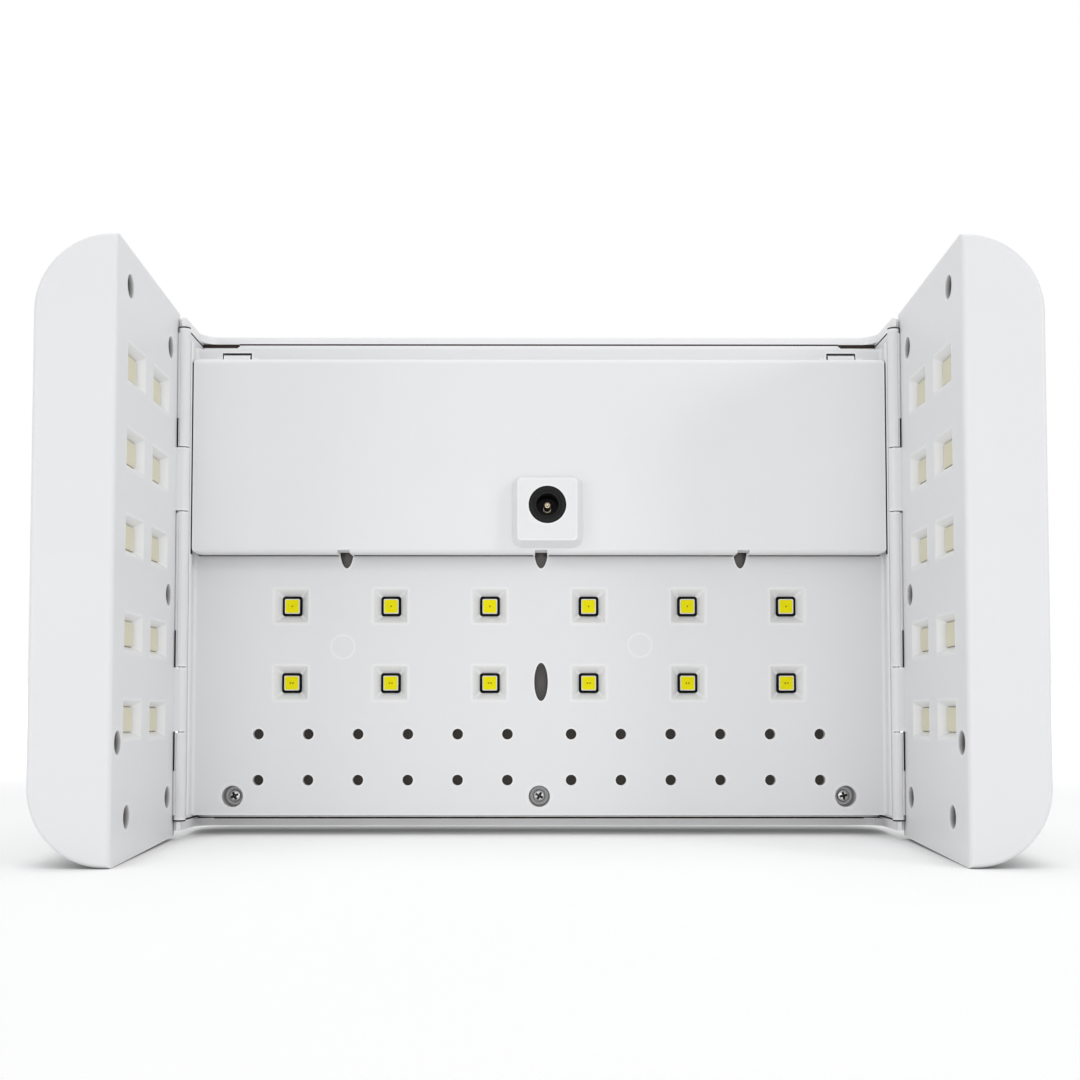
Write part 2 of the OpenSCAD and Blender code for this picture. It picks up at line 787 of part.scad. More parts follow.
// A slab from y0 to y1 with a rounded upper front edge, a rounded lower one and rounded
// corners
module soft_slab(x, z0, z1, y0, y1, r_top, r_low, r_corner) {
  intersection() {
    along_x(-x, x) {
      translate([y0 + r_top, z1 - r_top]) circle(r_top, $fn = wall_fn);
      translate([y0 + r_low, z0 + r_low]) circle(r_low, $fn = wall_fn);
      polygon([
        [y0, z0 + r_low], [y0, z1 - r_top], [y0 + r_top, z1 - r_top], [y0 + r_top, z1],
        [y1, z1], [y1, z0], [y0 + r_low, z0], [y0 + r_low, z0 + r_low]
      ]);
    }
    along_y(y0 - over, y1 + over)
      translate([0, (z0 + z1) / 2]) rounded(2 * x, z1 - z0, r_corner);
  }
}

// Half the width of the socket's boss at the depth y, for a full width of w at the flap's face
function boss_half(w, y) = w / 2 - boss_draft / boss_rise * (flap_face - y);

// The socket's boss from its front to the depth y1: drafted sides, with a cone at each corner
module jack_boss(y1) {
  y0 = boss_front;
  w0 = boss_half(boss_w, y0);
  w1 = boss_half(boss_w, y1);
  h0 = boss_half(boss_h, y0);
  h1 = boss_half(boss_h, y1);
  cx = boss_w / 2 - boss_round;
  cz = boss_h / 2 - boss_round;
  translate([boss_x, 0, boss_z]) {
    translate([0, 0, -cz]) linear_extrude(2 * cz)
      polygon([[-w0, y0], [w0, y0], [w1, y1], [-w1, y1]]);
    along_x(-cx, cx) polygon([[y0, -h0], [y0, h0], [y1, h1], [y1, -h1]]);
    for (x = [-cx, cx]) for (z = [-cz, cz])
      translate([x, y0, z]) rotate([-90, 0, 0])
        cylinder(r1 = w0 - cx, r2 = w1 - cx, h = y1 - y0, $fn = hole_fn);
  }
}

// The hollow inside the boss, with the same draft and sharp corners
module boss_hollow(y1) {
  y0 = boss_front + boss_wall;
  w0 = boss_half(boss_w, y0) - boss_wall;
  w1 = boss_half(boss_w, y1) - boss_wall;
  h0 = boss_half(boss_h, y0) - boss_wall;
  h1 = boss_half(boss_h, y1) - boss_wall;
  translate([boss_x, 0, boss_z]) intersection() {
    translate([0, 0, -boss_h]) linear_extrude(2 * boss_h)
      polygon([[-w0, y0], [w0, y0], [w1, y1], [-w1, y1]]);
    along_x(-boss_w, boss_w) polygon([[y0, -h0], [y0, h0], [y1, h1], [y1, -h1]]);
  }
}

// Section of a flap arm in y and z
module arm_section() {
  root = flap_back - arm_root;
  neck = arm_r * 0.8;
  translate([pivot_y, pivot_z]) circle(arm_r, $fn = hole_fn);
  polygon([
    [root, flap_top - flap_wall - arm_foot], [root, flap_top - sliver],
    [flap_back, flap_top - sliver], [pivot_y, pivot_z + neck], [pivot_y, pivot_z - neck],
    [flap_back, flap_top - flap_wall - arm_foot]
  ]);
}

module flap_shell() {
  wall_in = flap_face + flap_wall;
  color("#eef0f3") at_lamp() difference() {
    union() {
      difference() {
        union() {
          soft_slab(flap_x, flap_bottom, flap_top, flap_face, flap_back, flap_round_top,
                    flap_round_bottom, flap_corner);
          jack_boss(flap_face + flap_wall / 2);
        }
        box(-flap_x + flap_wall, flap_x - flap_wall, wall_in, flap_back + over,
            flap_bottom + flap_wall, flap_top - flap_wall);
        boss_hollow(wall_in + over);
      }
      both_sides() along_x(arm_x - arm_w / 2, arm_x + arm_w / 2) arm_section();
      for (p = flap_screws_at)
        round_y(p[0], p[1], flap_boss_r, flap_face + flap_wall / 2,
                flap_back - flap_well_depth - flap_well_floor);
    }
    both_sides()
      round_x(pivot_y, pivot_z, bore_r, arm_x - arm_w / 2 - over, arm_x + arm_w / 2 + over);
    for (p = flap_screws_at)
      round_y(p[0], p[1], screw_r + screw_gap, flap_face + flap_wall,
              flap_back - flap_well_depth);
    for (x = oval_row_x)
      box(x - notch_w / 2, x + notch_w / 2, flap_face - over, flap_back + over,
          flap_bottom - over, flap_bottom + notch_h);
    round_y(jack_at[0], jack_at[1], jack_r + jack_gap, boss_front - over,
            boss_front + boss_wall + over, wall_fn);
  }
}

module flap_cover() {
  x = flap_x - flap_wall - cover_gap;
  low = flap_bottom + flap_wall + cover_gap;
  high = flap_top - flap_wall - cover_gap;
  well_end = flap_back - flap_well_depth - flap_well_floor;
  color("#e6e8eb") at_lamp() difference() {
    union() {
      box(-x, x, cover_face, flap_back, low, high);
      for (p = flap_screws_at) 
        round_y(p[0], p[1], flap_well_r + flap_well_wall, well_end, cover_face + bite);
    }
    for (p = flap_screws_at) {
      round_y(p[0], p[1], flap_well_r, flap_back - flap_well_depth, flap_back + over);
      round_y(p[0], p[1], screw_r + screw_pass, well_end - over, flap_back);
    }
    both_sides()
      box(arm_x - arm_w / 2 - cover_gap, arm_x + arm_w / 2 + cover_gap, cover_face - over,
          flap_back + over, flap_top - flap_wall - arm_foot - cover_gap, flap_top);
  }
}

module flap_screws() {
  top = flap_back - flap_well_depth + screw_head_h;
  color("#9a9da1") at_lamp() for (p = flap_screws_at)
    translate([0, 2 * top, 0]) mirror([0, 1, 0])
      screw_y(p[0], p[1], top, screw_head_r, flap_screw_len);
}

module flap_pivot_pins() {
  color("#a9acb0") at_lamp() both_sides()
    round_x(pivot_y, pivot_z, pin_r, slot_x0 - pivot_grip + pin_end,
            slot_x1 + pivot_grip - pin_end);
}

// Power socket

module jack_housing() {
  floor_y = boss_front + socket_depth;
  seat = boss_front + boss_wall;
  color("#141518") at_lamp() difference() {
    union() {
      round_y(jack_at[0], jack_at[1], jack_r, boss_front, jack_back, wall_fn);
      round_y(jack_at[0], jack_at[1], jack_r + jack_flange, seat, seat + jack_flange_t, wall_fn);
    }
    round_y(jack_at[0], jack_at[1], socket_r, boss_front - over, floor_y, wall_fn);
    round_y(jack_at[0], jack_at[1], jack_pin_r, floor_y - over, floor_y + jack_pin_root);
  }
}

module jack_pin() {
  tip = jack_pin_r * 0.5;
  tip_y = boss_front + jack_pin_short;
  color("#c9c4b4") at_lamp() {
    round_y(jack_at[0], jack_at[1], jack_pin_r, tip_y + tip,
            boss_front + socket_depth + jack_pin_root);
    translate([jack_at[0], tip_y, jack_at[1]]) rotate([-90, 0, 0])
      cylinder(r1 = jack_pin_r - tip, r2 = jack_pin_r, h = tip, $fn = hole_fn);
  }
}

// Wings, drawn for the right side

// Half the height of a wing at the depth y, inset by e
function wing_half(y, e = 0) = wing_root_h / 2 + (wing_back - y) * tan(flare) - e / cos(flare);

// The wing's solid between the distances u0 and u1 from its face and the depths y0 and y1,
// inset by e from its outer faces: flat sides that flare, and outer edges that are rounds
// laid along that flare
module wing_solid(u0, u1, y0, y1, e) {
  r = wing_round - e;
  round_u = wing_t - wing_round;
  drop = wing_round / cos(flare);
  length = (wing_reach + wing_back) / cos(flare) + 4 * wing_round;
  intersection() {
    box(face_x + u0, face_x + u1, y0, y1, -wing_end_h, wing_end_h);
    union() {
      along_x(face_x - over, face_x + round_u) polygon([
        [-wing_reach, -wing_half(-wing_reach, e)], [wing_back, -wing_half(wing_back, e)],
        [wing_back, wing_half(wing_back, e)], [-wing_reach, wing_half(-wing_reach, e)]
      ]);
      along_x(face_x + round_u - sliver, face_x + wing_t - e) polygon([
        [-wing_reach, -wing_half(-wing_reach) + drop], [wing_back, -wing_half(wing_back) + drop],
        [wing_back, wing_half(wing_back) - drop], [-wing_reach, wing_half(-wing_reach) - drop]
      ]);
      for (s = [-1, 1])
        translate([face_x + round_u, wing_back, s * (wing_half(wing_back) - drop)])
          rotate([90 - s * flare, 0, 0]) translate([0, 0, -2 * wing_round])
            cylinder(r = r, h = length, $fn = wall_fn);
    }
  }
}

module wing_pockets() {
  y_mouth = wing_pocket_l / 2;
  z_mouth = wing_pocket_h / 2;
  slope = wing_pocket_draft / cover_t;
  wide = slope * over;
  thin = wing_pocket_draft + slope * over;
  u0 = face_x - over;
  u1 = face_x + cover_t + over;
  intersection() {
    for (y = wing_cols)
      translate([0, 0, -wing_end_h / 2]) linear_extrude(wing_end_h) polygon([
        [u0, y - y_mouth - wide], [u0, y + y_mouth + wide], [u1, y + y_mouth - thin],
        [u1, y - y_mouth + thin]
      ]);
    for (z = wing_rows)
      along_y(-wing_reach, wing_back) polygon([
        [u0, z - z_mouth - wide], [u0, z + z_mouth + wide], [u1, z + z_mouth - thin],
        [u1, z - z_mouth + thin]
      ]);
  }
}

module wing_knuckle(z) {
  z0 = z - knuckle_len / 2;
  z1 = z + knuckle_len / 2;
  round_z(hinge_x, hinge_y, barrel_r, z0, z1);
  box(hinge_x, face_x + bite, hinge_y - barrel_r, wing_back, z0, z1);
}

// Clearance round the centre's knuckles, cut into a wing's edge
module knuckle_relief() {
  for (k = centre_knuckles)
    round_z(hinge_x, hinge_y, barrel_r + barrel_gap, k[0] - knuckle_gap, k[1] + knuckle_gap);
}

module wing_cover() {
  at_lamp() difference() {
    union() {
      wing_solid(0, cover_t, -wing_reach, wing_back, 0);
      wing_solid(0, wing_t, -wing_reach, -wing_reach + end_t, 0);
      for (p = wing_screws_at)
        round_x(p[0], p[1], wing_well_r + well_wall, face_x + cover_t - bite,
                face_x + wing_well_back);
      for (z = knuckle_z) wing_knuckle(z);
    }
    wing_pockets();
    knuckle_relief();
    round_z(hinge_x, hinge_y, bore_r, -wing_end_h, wing_end_h);
    for (p = wing_screws_at) {
      round_x(p[0], p[1], wing_well_r, face_x - over, face_x + wing_well_depth);
      round_x(p[0], p[1], screw_r + screw_pass, face_x, face_x + wing_well_back + over);
    }
  }
}

module wing_shell() {
  free_end = -wing_reach + end_t + seam;
  at_lamp() difference() {
    union() {
      difference() {
        wing_solid(cover_t + seam, wing_t, free_end, wing_back, 0);
        wing_solid(0, wing_t - wing_wall, free_end - over, wing_back - wing_wall, wing_wall);
      }
      intersection() {
        wing_solid(0, wing_t - wing_wall / 2, free_end, wing_back, wing_wall / 2);
        for (p = wing_screws_at)
          round_x(p[0], p[1], boss_r, face_x + wing_well_back, face_x + wing_t);
      }
    }
    for (p = wing_screws_at)
      round_x(p[0], p[1], screw_r + screw_gap, face_x + wing_well_back - over,
              face_x + wing_well_depth + screw_len + pilot_spare);
  }
}

module wing_led_board() {
  y0 = wing_cols[1] - wing_pocket_l / 2;
  y1 = wing_cols[0] + wing_pocket_l / 2;
  z0 = min(wing_rows) - wing_pocket_h / 2 - wing_board_margin;
  z1 = max(wing_rows) + wing_pocket_h / 2 + wing_board_margin;
  u = face_x + wing_board_u;
  at_lamp() difference() {
    box(u, u + board_t, y0, y1, z0, z1);
    for (p = wing_screws_at)
      round_x(p[0], p[1], wing_well_r + well_wall + fit_gap, u - over, u + board_t + over);
  }
}

module wing_emitters() {
  l = wing_pocket_l - 2 * wing_pocket_draft - 2 * emitter_gap;
  h = wing_pocket_h - 2 * wing_pocket_draft - 2 * emitter_gap;
  u = face_x + wing_board_u;
  at_lamp() for (y = wing_cols) for (z = wing_rows)
    box(u - emitter_h, u, y - l / 2, y + l / 2, z - h / 2, z + h / 2);
}

module wing_screws() {
  seat = face_x + wing_well_depth;
  at_lamp() for (p = wing_screws_at)
    translate([seat - screw_head_h, p[0], p[1]]) rotate([0, 0, -90])
      screw_y(0, 0, 0, wing_head_r, screw_len);
}

module right_wing_cover() color("#eceef1") wing_cover();
module right_wing_shell() color("#f3f4f6") wing_shell();
module right_wing_led_board() color("#23262b") wing_led_board();
module right_wing_emitters() color("#d8cf9a") wing_emitters();
module right_wing_screws() color("#9a9da1") wing_screws();
module left_wing_cover() color("#eceef1") mirror([1, 0, 0]) wing_cover();
module left_wing_shell() color("#f3f4f6") mirror([1, 0, 0]) wing_shell();
module left_wing_led_board() color("#23262b") mirror([1, 0, 0]) wing_led_board();
module left_wing_emitters() color("#d8cf9a") mirror([1, 0, 0]) wing_emitters();
module left_wing_screws() color("#9a9da1") mirror([1, 0, 0]) wing_screws();

centre_shell();
light_panel();
centre_led_board();
centre_led_bodies();
centre_led_phosphors();
sensor_windows();
hand_sensors();
panel_screws();
led_board_screws();
control_board();
control_board_screws();
button_switches();
left_button();
middle_button();
right_button();
left_plunger();
middle_plunger();
right_plunger();
display_window();
display_module();
left_hinge_pin();
right_hinge_pin();
flap_shell();
flap_cover();
flap_screws();
flap_pivot_pins();
jack_housing();
jack_pin();
left_wing_cover();
left_wing_shell();
left_wing_led_board();
left_wing_emitters();
left_wing_screws();
right_wing_cover();
right_wing_shell();
right_wing_led_board();
right_wing_emitters();
right_wing_screws();
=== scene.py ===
"""Looks of a folding lamp for hardening nail varnish, opened out on its long edge.

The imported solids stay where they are. They get moulded edges from modifiers, procedural
materials and, where the solids are plain, pieces that are worked out here in their stead.
"""
import bpy
import bmesh
import json
import math
import numpy as np
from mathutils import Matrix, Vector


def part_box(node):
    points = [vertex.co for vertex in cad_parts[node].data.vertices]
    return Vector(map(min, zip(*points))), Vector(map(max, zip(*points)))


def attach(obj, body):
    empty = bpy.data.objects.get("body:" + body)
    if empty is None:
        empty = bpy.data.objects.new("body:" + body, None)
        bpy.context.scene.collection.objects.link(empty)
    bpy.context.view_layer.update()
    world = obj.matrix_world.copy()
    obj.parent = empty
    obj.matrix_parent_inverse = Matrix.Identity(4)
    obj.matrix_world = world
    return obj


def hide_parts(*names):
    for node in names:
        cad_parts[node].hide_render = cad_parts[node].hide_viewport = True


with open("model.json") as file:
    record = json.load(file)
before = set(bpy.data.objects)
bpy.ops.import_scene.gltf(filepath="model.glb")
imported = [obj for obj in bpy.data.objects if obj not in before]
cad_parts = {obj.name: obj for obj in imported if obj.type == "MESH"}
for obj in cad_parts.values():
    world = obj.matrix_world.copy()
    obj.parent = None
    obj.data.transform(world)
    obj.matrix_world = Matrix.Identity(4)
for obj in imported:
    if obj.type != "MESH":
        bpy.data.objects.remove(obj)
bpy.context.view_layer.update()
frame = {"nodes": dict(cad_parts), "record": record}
MM = 0.001


# Places, in metres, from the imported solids

def corners(node):
    """A node's lowest and highest corner as two arrays."""
    low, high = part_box(node)
    return np.array(low), np.array(high)


WING_LOW, WING_HIGH = corners("right_wing_cover")
HINGE_PLANE_Y = WING_LOW[1] + 59.4 * MM
MIDDLE_Z = WING_HIGH[2] / 2


def spot(across, back, up):
    """Millimetres across, behind the hinge plane and over the lamp's middle, in metres."""
    across, back, up = np.broadcast_arrays(across, back, up)
    return np.stack([across * MM, HINGE_PLANE_Y + back * MM, MIDDLE_Z + up * MM], axis=-1)


# Camera and stage

CAMERA_LENS = 50.0
CAMERA_SHIFT_Y = 0.0977
CAMERA_PLACE = (-1.05 * MM, HINGE_PLANE_Y - 406.6 * MM, 34.5 * MM)
CAMERA_PITCH = 0.049
CAMERA_YAW = -0.003
FLOOR_TILT = math.radians(1.9)
FLOOR_REACH = 4.0
FLOOR_PAPER = 0.97
FLOOR_LIFT = 0.13
FLOOR_NEAR = 0.25
FLOOR_FAR = 0.8
CONTACT_SHADOW_REACH = 0.014
WORLD_LIGHT = 0.61
LAMPS = (
    # name, place, aim, size, watts
    ("top_lamp", (0, 0.05, 1.3), (0, 0, 0.07), (1.0, 1.0), 4.0),
    ("right_lamp", (1.0, -0.9, 0.55), (0, 0, 0.07), (0.25, 0.25), 2.2),
    ("low_left_lamp", (-0.9, -1.0, 0.2), (0, 0, 0.07), (0.5, 0.5), 1.6),
    ("front_lamp", (0, -1.3, 0.08), (0, 0, 0.07), (1.0, 0.15), 1.65),
)


def ramp(tree, value, from_min, from_max, to_min, to_max):
    """A value carried over from one range to another, and held at its ends."""
    scale = tree.nodes.new("ShaderNodeMapRange")
    scale.inputs["From Min"].default_value = from_min
    scale.inputs["From Max"].default_value = from_max
    scale.inputs["To Min"].default_value = to_min
    scale.inputs["To Max"].default_value = to_max
    tree.links.new(value, scale.inputs["Value"])
    return scale


def make_camera():
    """The photograph's view: a little above the wings' lowest corners, tilted up slightly."""
    data = bpy.data.cameras.new("camera")
    data.lens = CAMERA_LENS
    data.sensor_width = 36.0
    data.shift_y = CAMERA_SHIFT_Y
    data.clip_start = 0.01
    camera = bpy.data.objects.new("camera", data)
    camera.location = CAMERA_PLACE
    camera.rotation_euler = (math.pi / 2 + CAMERA_PITCH, 0, CAMERA_YAW)
    bpy.context.scene.collection.objects.link(camera)
    bpy.context.scene.camera = camera


def area_lamp(name, place, aim, size, watts):
    """A rectangular lamp at a place, turned towards its aim."""
    data = bpy.data.lights.new(name, "AREA")
    data.shape = "RECTANGLE"
    data.size, data.size_y = size
    data.energy = watts
    lamp = bpy.data.objects.new(name, data)
    lamp.location = place
    way = np.array(aim, float) - np.array(place, float)
    lamp.rotation_euler = (math.atan2(math.hypot(way[0], way[1]), -way[2]), 0,
                           math.atan2(-way[0], way[1]))
    bpy.context.scene.collection.objects.link(lamp)


def background_rays(tree):
    """1 for rays that show the background (camera, mirror-like, through glass), else 0."""
    path = tree.nodes.new("ShaderNodeLightPath")
    first = tree.nodes.new("ShaderNodeMath")
    first.operation = "MAXIMUM"
    tree.links.new(path.outputs["Is Camera Ray"], first.inputs[0])
    tree.links.new(path.outputs["Is Glossy Ray"], first.inputs[1])
    both = tree.nodes.new("ShaderNodeMath")
    both.operation = "MAXIMUM"
    tree.links.new(first.outputs[0], both.inputs[0])
    tree.links.new(path.outputs["Is Transmission Ray"], both.inputs[1])
    return both.outputs[0]


def make_floor():
    """White paper that goes to plain white away from the lamp and keeps its shadow, with
    painted shadow added where the lamp all but touches it."""
    size = FLOOR_REACH
    mesh = bpy.data.meshes.new("floor")
    mesh.from_pydata([(-size, -size, 0), (size, -size, 0), (size, size, 0), (-size, size, 0)],
                     [], [(0, 1, 2, 3)])
    floor = bpy.data.objects.new("floor", mesh)
    floor.rotation_euler = (FLOOR_TILT, 0, 0)
    floor.location = (0, WING_LOW[1], -0.05 * MM)
    bpy.context.scene.collection.objects.link(floor)
    material = bpy.data.materials.new("studio_floor")
    material.use_nodes = True
    tree = material.node_tree
    tree.nodes.clear()
    out = tree.nodes.new("ShaderNodeOutputMaterial")
    add = tree.nodes.new("ShaderNodeAddShader")
    matt = tree.nodes.new("ShaderNodeBsdfDiffuse")
    # Painted contact shadow: paper and glow darkened where occlusion finds the lamp close by
    near = tree.nodes.new("ShaderNodeAmbientOcclusion")
    near.inputs["Distance"].default_value = CONTACT_SHADOW_REACH
    near.samples = 8
    painted_contact_shadow = ramp(tree, near.outputs["AO"], 0.0, 0.8, 0.35, 1.0)
    paper = tree.nodes.new("ShaderNodeMix")
    paper.data_type = "RGBA"
    paper.inputs["A"].default_value = (0, 0, 0, 1)
    paper.inputs["B"].default_value = (*[FLOOR_PAPER] * 3, 1)
    tree.links.new(painted_contact_shadow.outputs["Result"], paper.inputs["Factor"])
    tree.links.new(paper.outputs["Result"], matt.inputs["Color"])
    glow = tree.nodes.new("ShaderNodeEmission")
    glow.inputs["Color"].default_value = (1, 1, 1, 1)
    place = tree.nodes.new("ShaderNodeTexCoord")
    reach = tree.nodes.new("ShaderNodeVectorMath")
    reach.operation = "LENGTH"
    tree.links.new(place.outputs["Object"], reach.inputs[0])
    lift = ramp(tree, reach.outputs["Value"], FLOOR_NEAR, FLOOR_FAR, FLOOR_LIFT, 1.0)
    lift.interpolation_type = "SMOOTHSTEP"
    shown = tree.nodes.new("ShaderNodeMath")
    shown.operation = "MULTIPLY"
    tree.links.new(background_rays(tree), shown.inputs[0])
    tree.links.new(lift.outputs["Result"], shown.inputs[1])
    held = tree.nodes.new("ShaderNodeMath")
    held.operation = "MULTIPLY"
    tree.links.new(shown.outputs[0], held.inputs[0])
    tree.links.new(painted_contact_shadow.outputs["Result"], held.inputs[1])
    tree.links.new(held.outputs[0], glow.inputs["Strength"])
    tree.links.new(matt.outputs[0], add.inputs[0])
    tree.links.new(glow.outputs[0], add.inputs[1])
    tree.links.new(add.outputs[0], out.inputs["Surface"])
    floor.data.materials.append(material)


def make_world():
    """Soft even light, and plain white wherever the background itself is seen."""
    world = bpy.data.worlds.new("studio")
    bpy.context.scene.world = world
    world.use_nodes = True
    tree = world.node_tree
    tree.nodes.clear()
    out = tree.nodes.new("ShaderNodeOutputWorld")
    base = tree.nodes.new("ShaderNodeBackground")
    base.inputs["Color"].default_value = (0.985, 0.99, 1.0, 1)
    base.inputs["Strength"].default_value = WORLD_LIGHT
    back = tree.nodes.new("ShaderNodeBackground")
    back.inputs["Color"].default_value = (1, 1, 1, 1)
    back.inputs["Strength"].default_value = 1.0
    mix = tree.nodes.new("ShaderNodeMixShader")
    tree.links.new(background_rays(tree), mix.inputs[0])
    tree.links.new(base.outputs[0], mix.inputs[1])
    tree.links.new(back.outputs[0], mix.inputs[2])
    tree.links.new(mix.outputs[0], out.inputs["Surface"])


# Materials

# Painted shade: how far and how dark gaps and inner corners are darkened in the colour
GAP_SHADE_REACH = 1.6 * MM
GAP_SHADE_COLOUR = (0.030, 0.022, 0.018)
# Painted highlight: how far in from outer edges and how pale they are made in the colour
HIGHLIGHT_REACH = 0.8 * MM
HIGHLIGHT_COLOUR = (0.99, 0.99, 0.99)


def over(tree, base, colour, share):
    """The base colour with another one laid over it by a share."""
    mix = tree.nodes.new("ShaderNodeMix")
    mix.data_type = "RGBA"
    mix.inputs["B"].default_value = (*colour, 1)
    tree.links.new(share, mix.inputs["Factor"])
    tree.links.new(base, mix.inputs["A"])
    return mix.outputs["Result"]


def base_colour(tree):
    """The Principled shader's colour input and what feeds it so far."""
    colour = tree.nodes["Principled BSDF"].inputs["Base Color"]
    return colour, colour.links[0].from_socket


def cell_parts(tree):
    """The three numbers of the attribute `cell`."""
    cell = tree.nodes.new("ShaderNodeAttribute")
    cell.attribute_name = "cell"
    parts = tree.nodes.new("ShaderNodeSeparateXYZ")
    tree.links.new(cell.outputs["Vector"], parts.inputs["Vector"])
    return parts


def plastic(name, colour, roughness, grain=0.15, sheen=0.5, gap_shade=0.0, rim=0.0):
    """Moulded plastic: a faint cloudiness in colour and gloss, a very fine grain, and, where
    asked for, painted shade that darkens narrow gaps and sharp inner corners and a painted
    highlight that makes outer edges paler."""
    material = bpy.data.materials.new(name)
    material.use_nodes = True
    tree = material.node_tree
    shader = tree.nodes["Principled BSDF"]
    shader.inputs["Specular IOR Level"].default_value = sheen
    place = tree.nodes.new("ShaderNodeTexCoord")
    cloud = tree.nodes.new("ShaderNodeTexNoise")
    cloud.inputs["Scale"].default_value = 35.0
    cloud.inputs["Detail"].default_value = 3.0
    tree.links.new(place.outputs["Object"], cloud.inputs["Vector"])
    tint = tree.nodes.new("ShaderNodeMix")
    tint.data_type = "RGBA"
    tint.inputs["A"].default_value = (*[c * 0.985 for c in colour], 1)
    tint.inputs["B"].default_value = (*[min(1, c * 1.015) for c in colour], 1)
    tree.links.new(cloud.outputs["Fac"], tint.inputs["Factor"])
    shade = tint.outputs["Result"]
    # Painted highlight: outer edges made paler where inside occlusion finds little plastic
    # behind them
    if rim:
        edge = tree.nodes.new("ShaderNodeAmbientOcclusion")
        edge.inside = True
        edge.inputs["Distance"].default_value = HIGHLIGHT_REACH
        edge.samples = 4
        edge_highlight = ramp(tree, edge.outputs["AO"], 0.5, 0.92, rim, 0.0)
        shade = over(tree, shade, HIGHLIGHT_COLOUR, edge_highlight.outputs["Result"])
    # Painted shade: the colour darkened where occlusion finds surfaces close by, in gaps and
    # inner corners
    if gap_shade:
        gap = tree.nodes.new("ShaderNodeAmbientOcclusion")
        gap.inputs["Distance"].default_value = GAP_SHADE_REACH
        gap.samples = 6
        depth = ramp(tree, gap.outputs["AO"], 0.0, 0.6, gap_shade, 0.0)
        shade = over(tree, shade, GAP_SHADE_COLOUR, depth.outputs["Result"])
    tree.links.new(shade, shader.inputs["Base Color"])
    gloss = ramp(tree, cloud.outputs["Fac"], 0.0, 1.0, roughness - 0.03, roughness + 0.03)
    tree.links.new(gloss.outputs["Result"], shader.inputs["Roughness"])
    fine = tree.nodes.new("ShaderNodeTexNoise")
    fine.inputs["Scale"].default_value = 1800.0
    tree.links.new(place.outputs["Object"], fine.inputs["Vector"])
    bump = tree.nodes.new("ShaderNodeBump")
    bump.inputs["Strength"].default_value = grain
    bump.inputs["Distance"].default_value = 0.02 * MM
    tree.links.new(fine.outputs["Fac"], bump.inputs["Height"])
    tree.links.new(bump.outputs["Normal"], shader.inputs["Normal"])
    return material


def metal(name, colour, roughness):
    """Plated metal: a cloudy gloss and fine scratches drawn out along one direction."""
    material = plastic(name, colour, roughness, grain=0.3)
    tree = material.node_tree
    tree.nodes["Principled BSDF"].inputs["Metallic"].default_value = 1.0
    stretch = tree.nodes.new("ShaderNodeMapping")
    stretch.inputs["Scale"].default_value = (4.0, 0.3, 0.3)
    for node in tree.nodes:
        if node.type == "TEX_NOISE" and node.inputs["Scale"].default_value > 1000:
            link = node.inputs["Vector"].links[0]
            source = link.from_socket
            tree.links.remove(link)
            tree.links.new(source, stretch.inputs["Vector"])
            tree.links.new(stretch.outputs["Vector"], node.inputs["Vector"])
    return material


def phosphor(name):
    """Yellow phosphor over light emitting chips: grains and dark bond dots.

    The attribute `cell` gives the place on each light from -1 to 1, and in its third number
    how far apart the two dots are, where 0 makes them one dot.
    """
    material = plastic(name, (0.90, 0.82, 0.001), 0.5, grain=0.5, sheen=0.08)
    tree = material.node_tree
    colour, base = base_colour(tree)
    parts = cell_parts(tree)
    away = tree.nodes.new("ShaderNodeMath")
    away.operation = "ABSOLUTE"
    tree.links.new(parts.outputs["X"], away.inputs[0])
    beside = tree.nodes.new("ShaderNodeMath")
    beside.operation = "SUBTRACT"
    tree.links.new(away.outputs[0], beside.inputs[0])
    tree.links.new(parts.outputs["Z"], beside.inputs[1])
    where = tree.nodes.new("ShaderNodeCombineXYZ")
    tree.links.new(beside.outputs[0], where.inputs["X"])
    tree.links.new(parts.outputs["Y"], where.inputs["Y"])
    reach = tree.nodes.new("ShaderNodeVectorMath")
    reach.operation = "LENGTH"
    tree.links.new(where.outputs[0], reach.inputs[0])
    dot = ramp(tree, reach.outputs["Value"], 0.07, 0.19, 0.85, 0.0)
    dot.interpolation_type = "SMOOTHSTEP"
    grains = tree.nodes.new("ShaderNodeTexVoronoi")
    grains.inputs["Scale"].default_value = 4200.0
    place = tree.nodes.new("ShaderNodeTexCoord")
    tree.links.new(place.outputs["Object"], grains.inputs["Vector"])
    speck = ramp(tree, grains.outputs["Distance"], 0.0, 0.9, 0.16, 0.0)
    grained = over(tree, base, (0.62, 0.45, 0.02), speck.outputs["Result"])
    tree.links.new(over(tree, grained, (0.20, 0.11, 0.02), dot.outputs["Result"]), colour)
    return material


def recess_shade_steel(name):
    """Plated screw steel with painted shade in the cross recess and round the head's edge, by
    the first number of `cell`.
    """
    material = metal(name, (0.62, 0.62, 0.61), 0.28)
    tree = material.node_tree
    colour, base = base_colour(tree)
    parts = cell_parts(tree)
    tree.links.new(over(tree, base, (0.03, 0.028, 0.026), parts.outputs["X"]), colour)
    return material


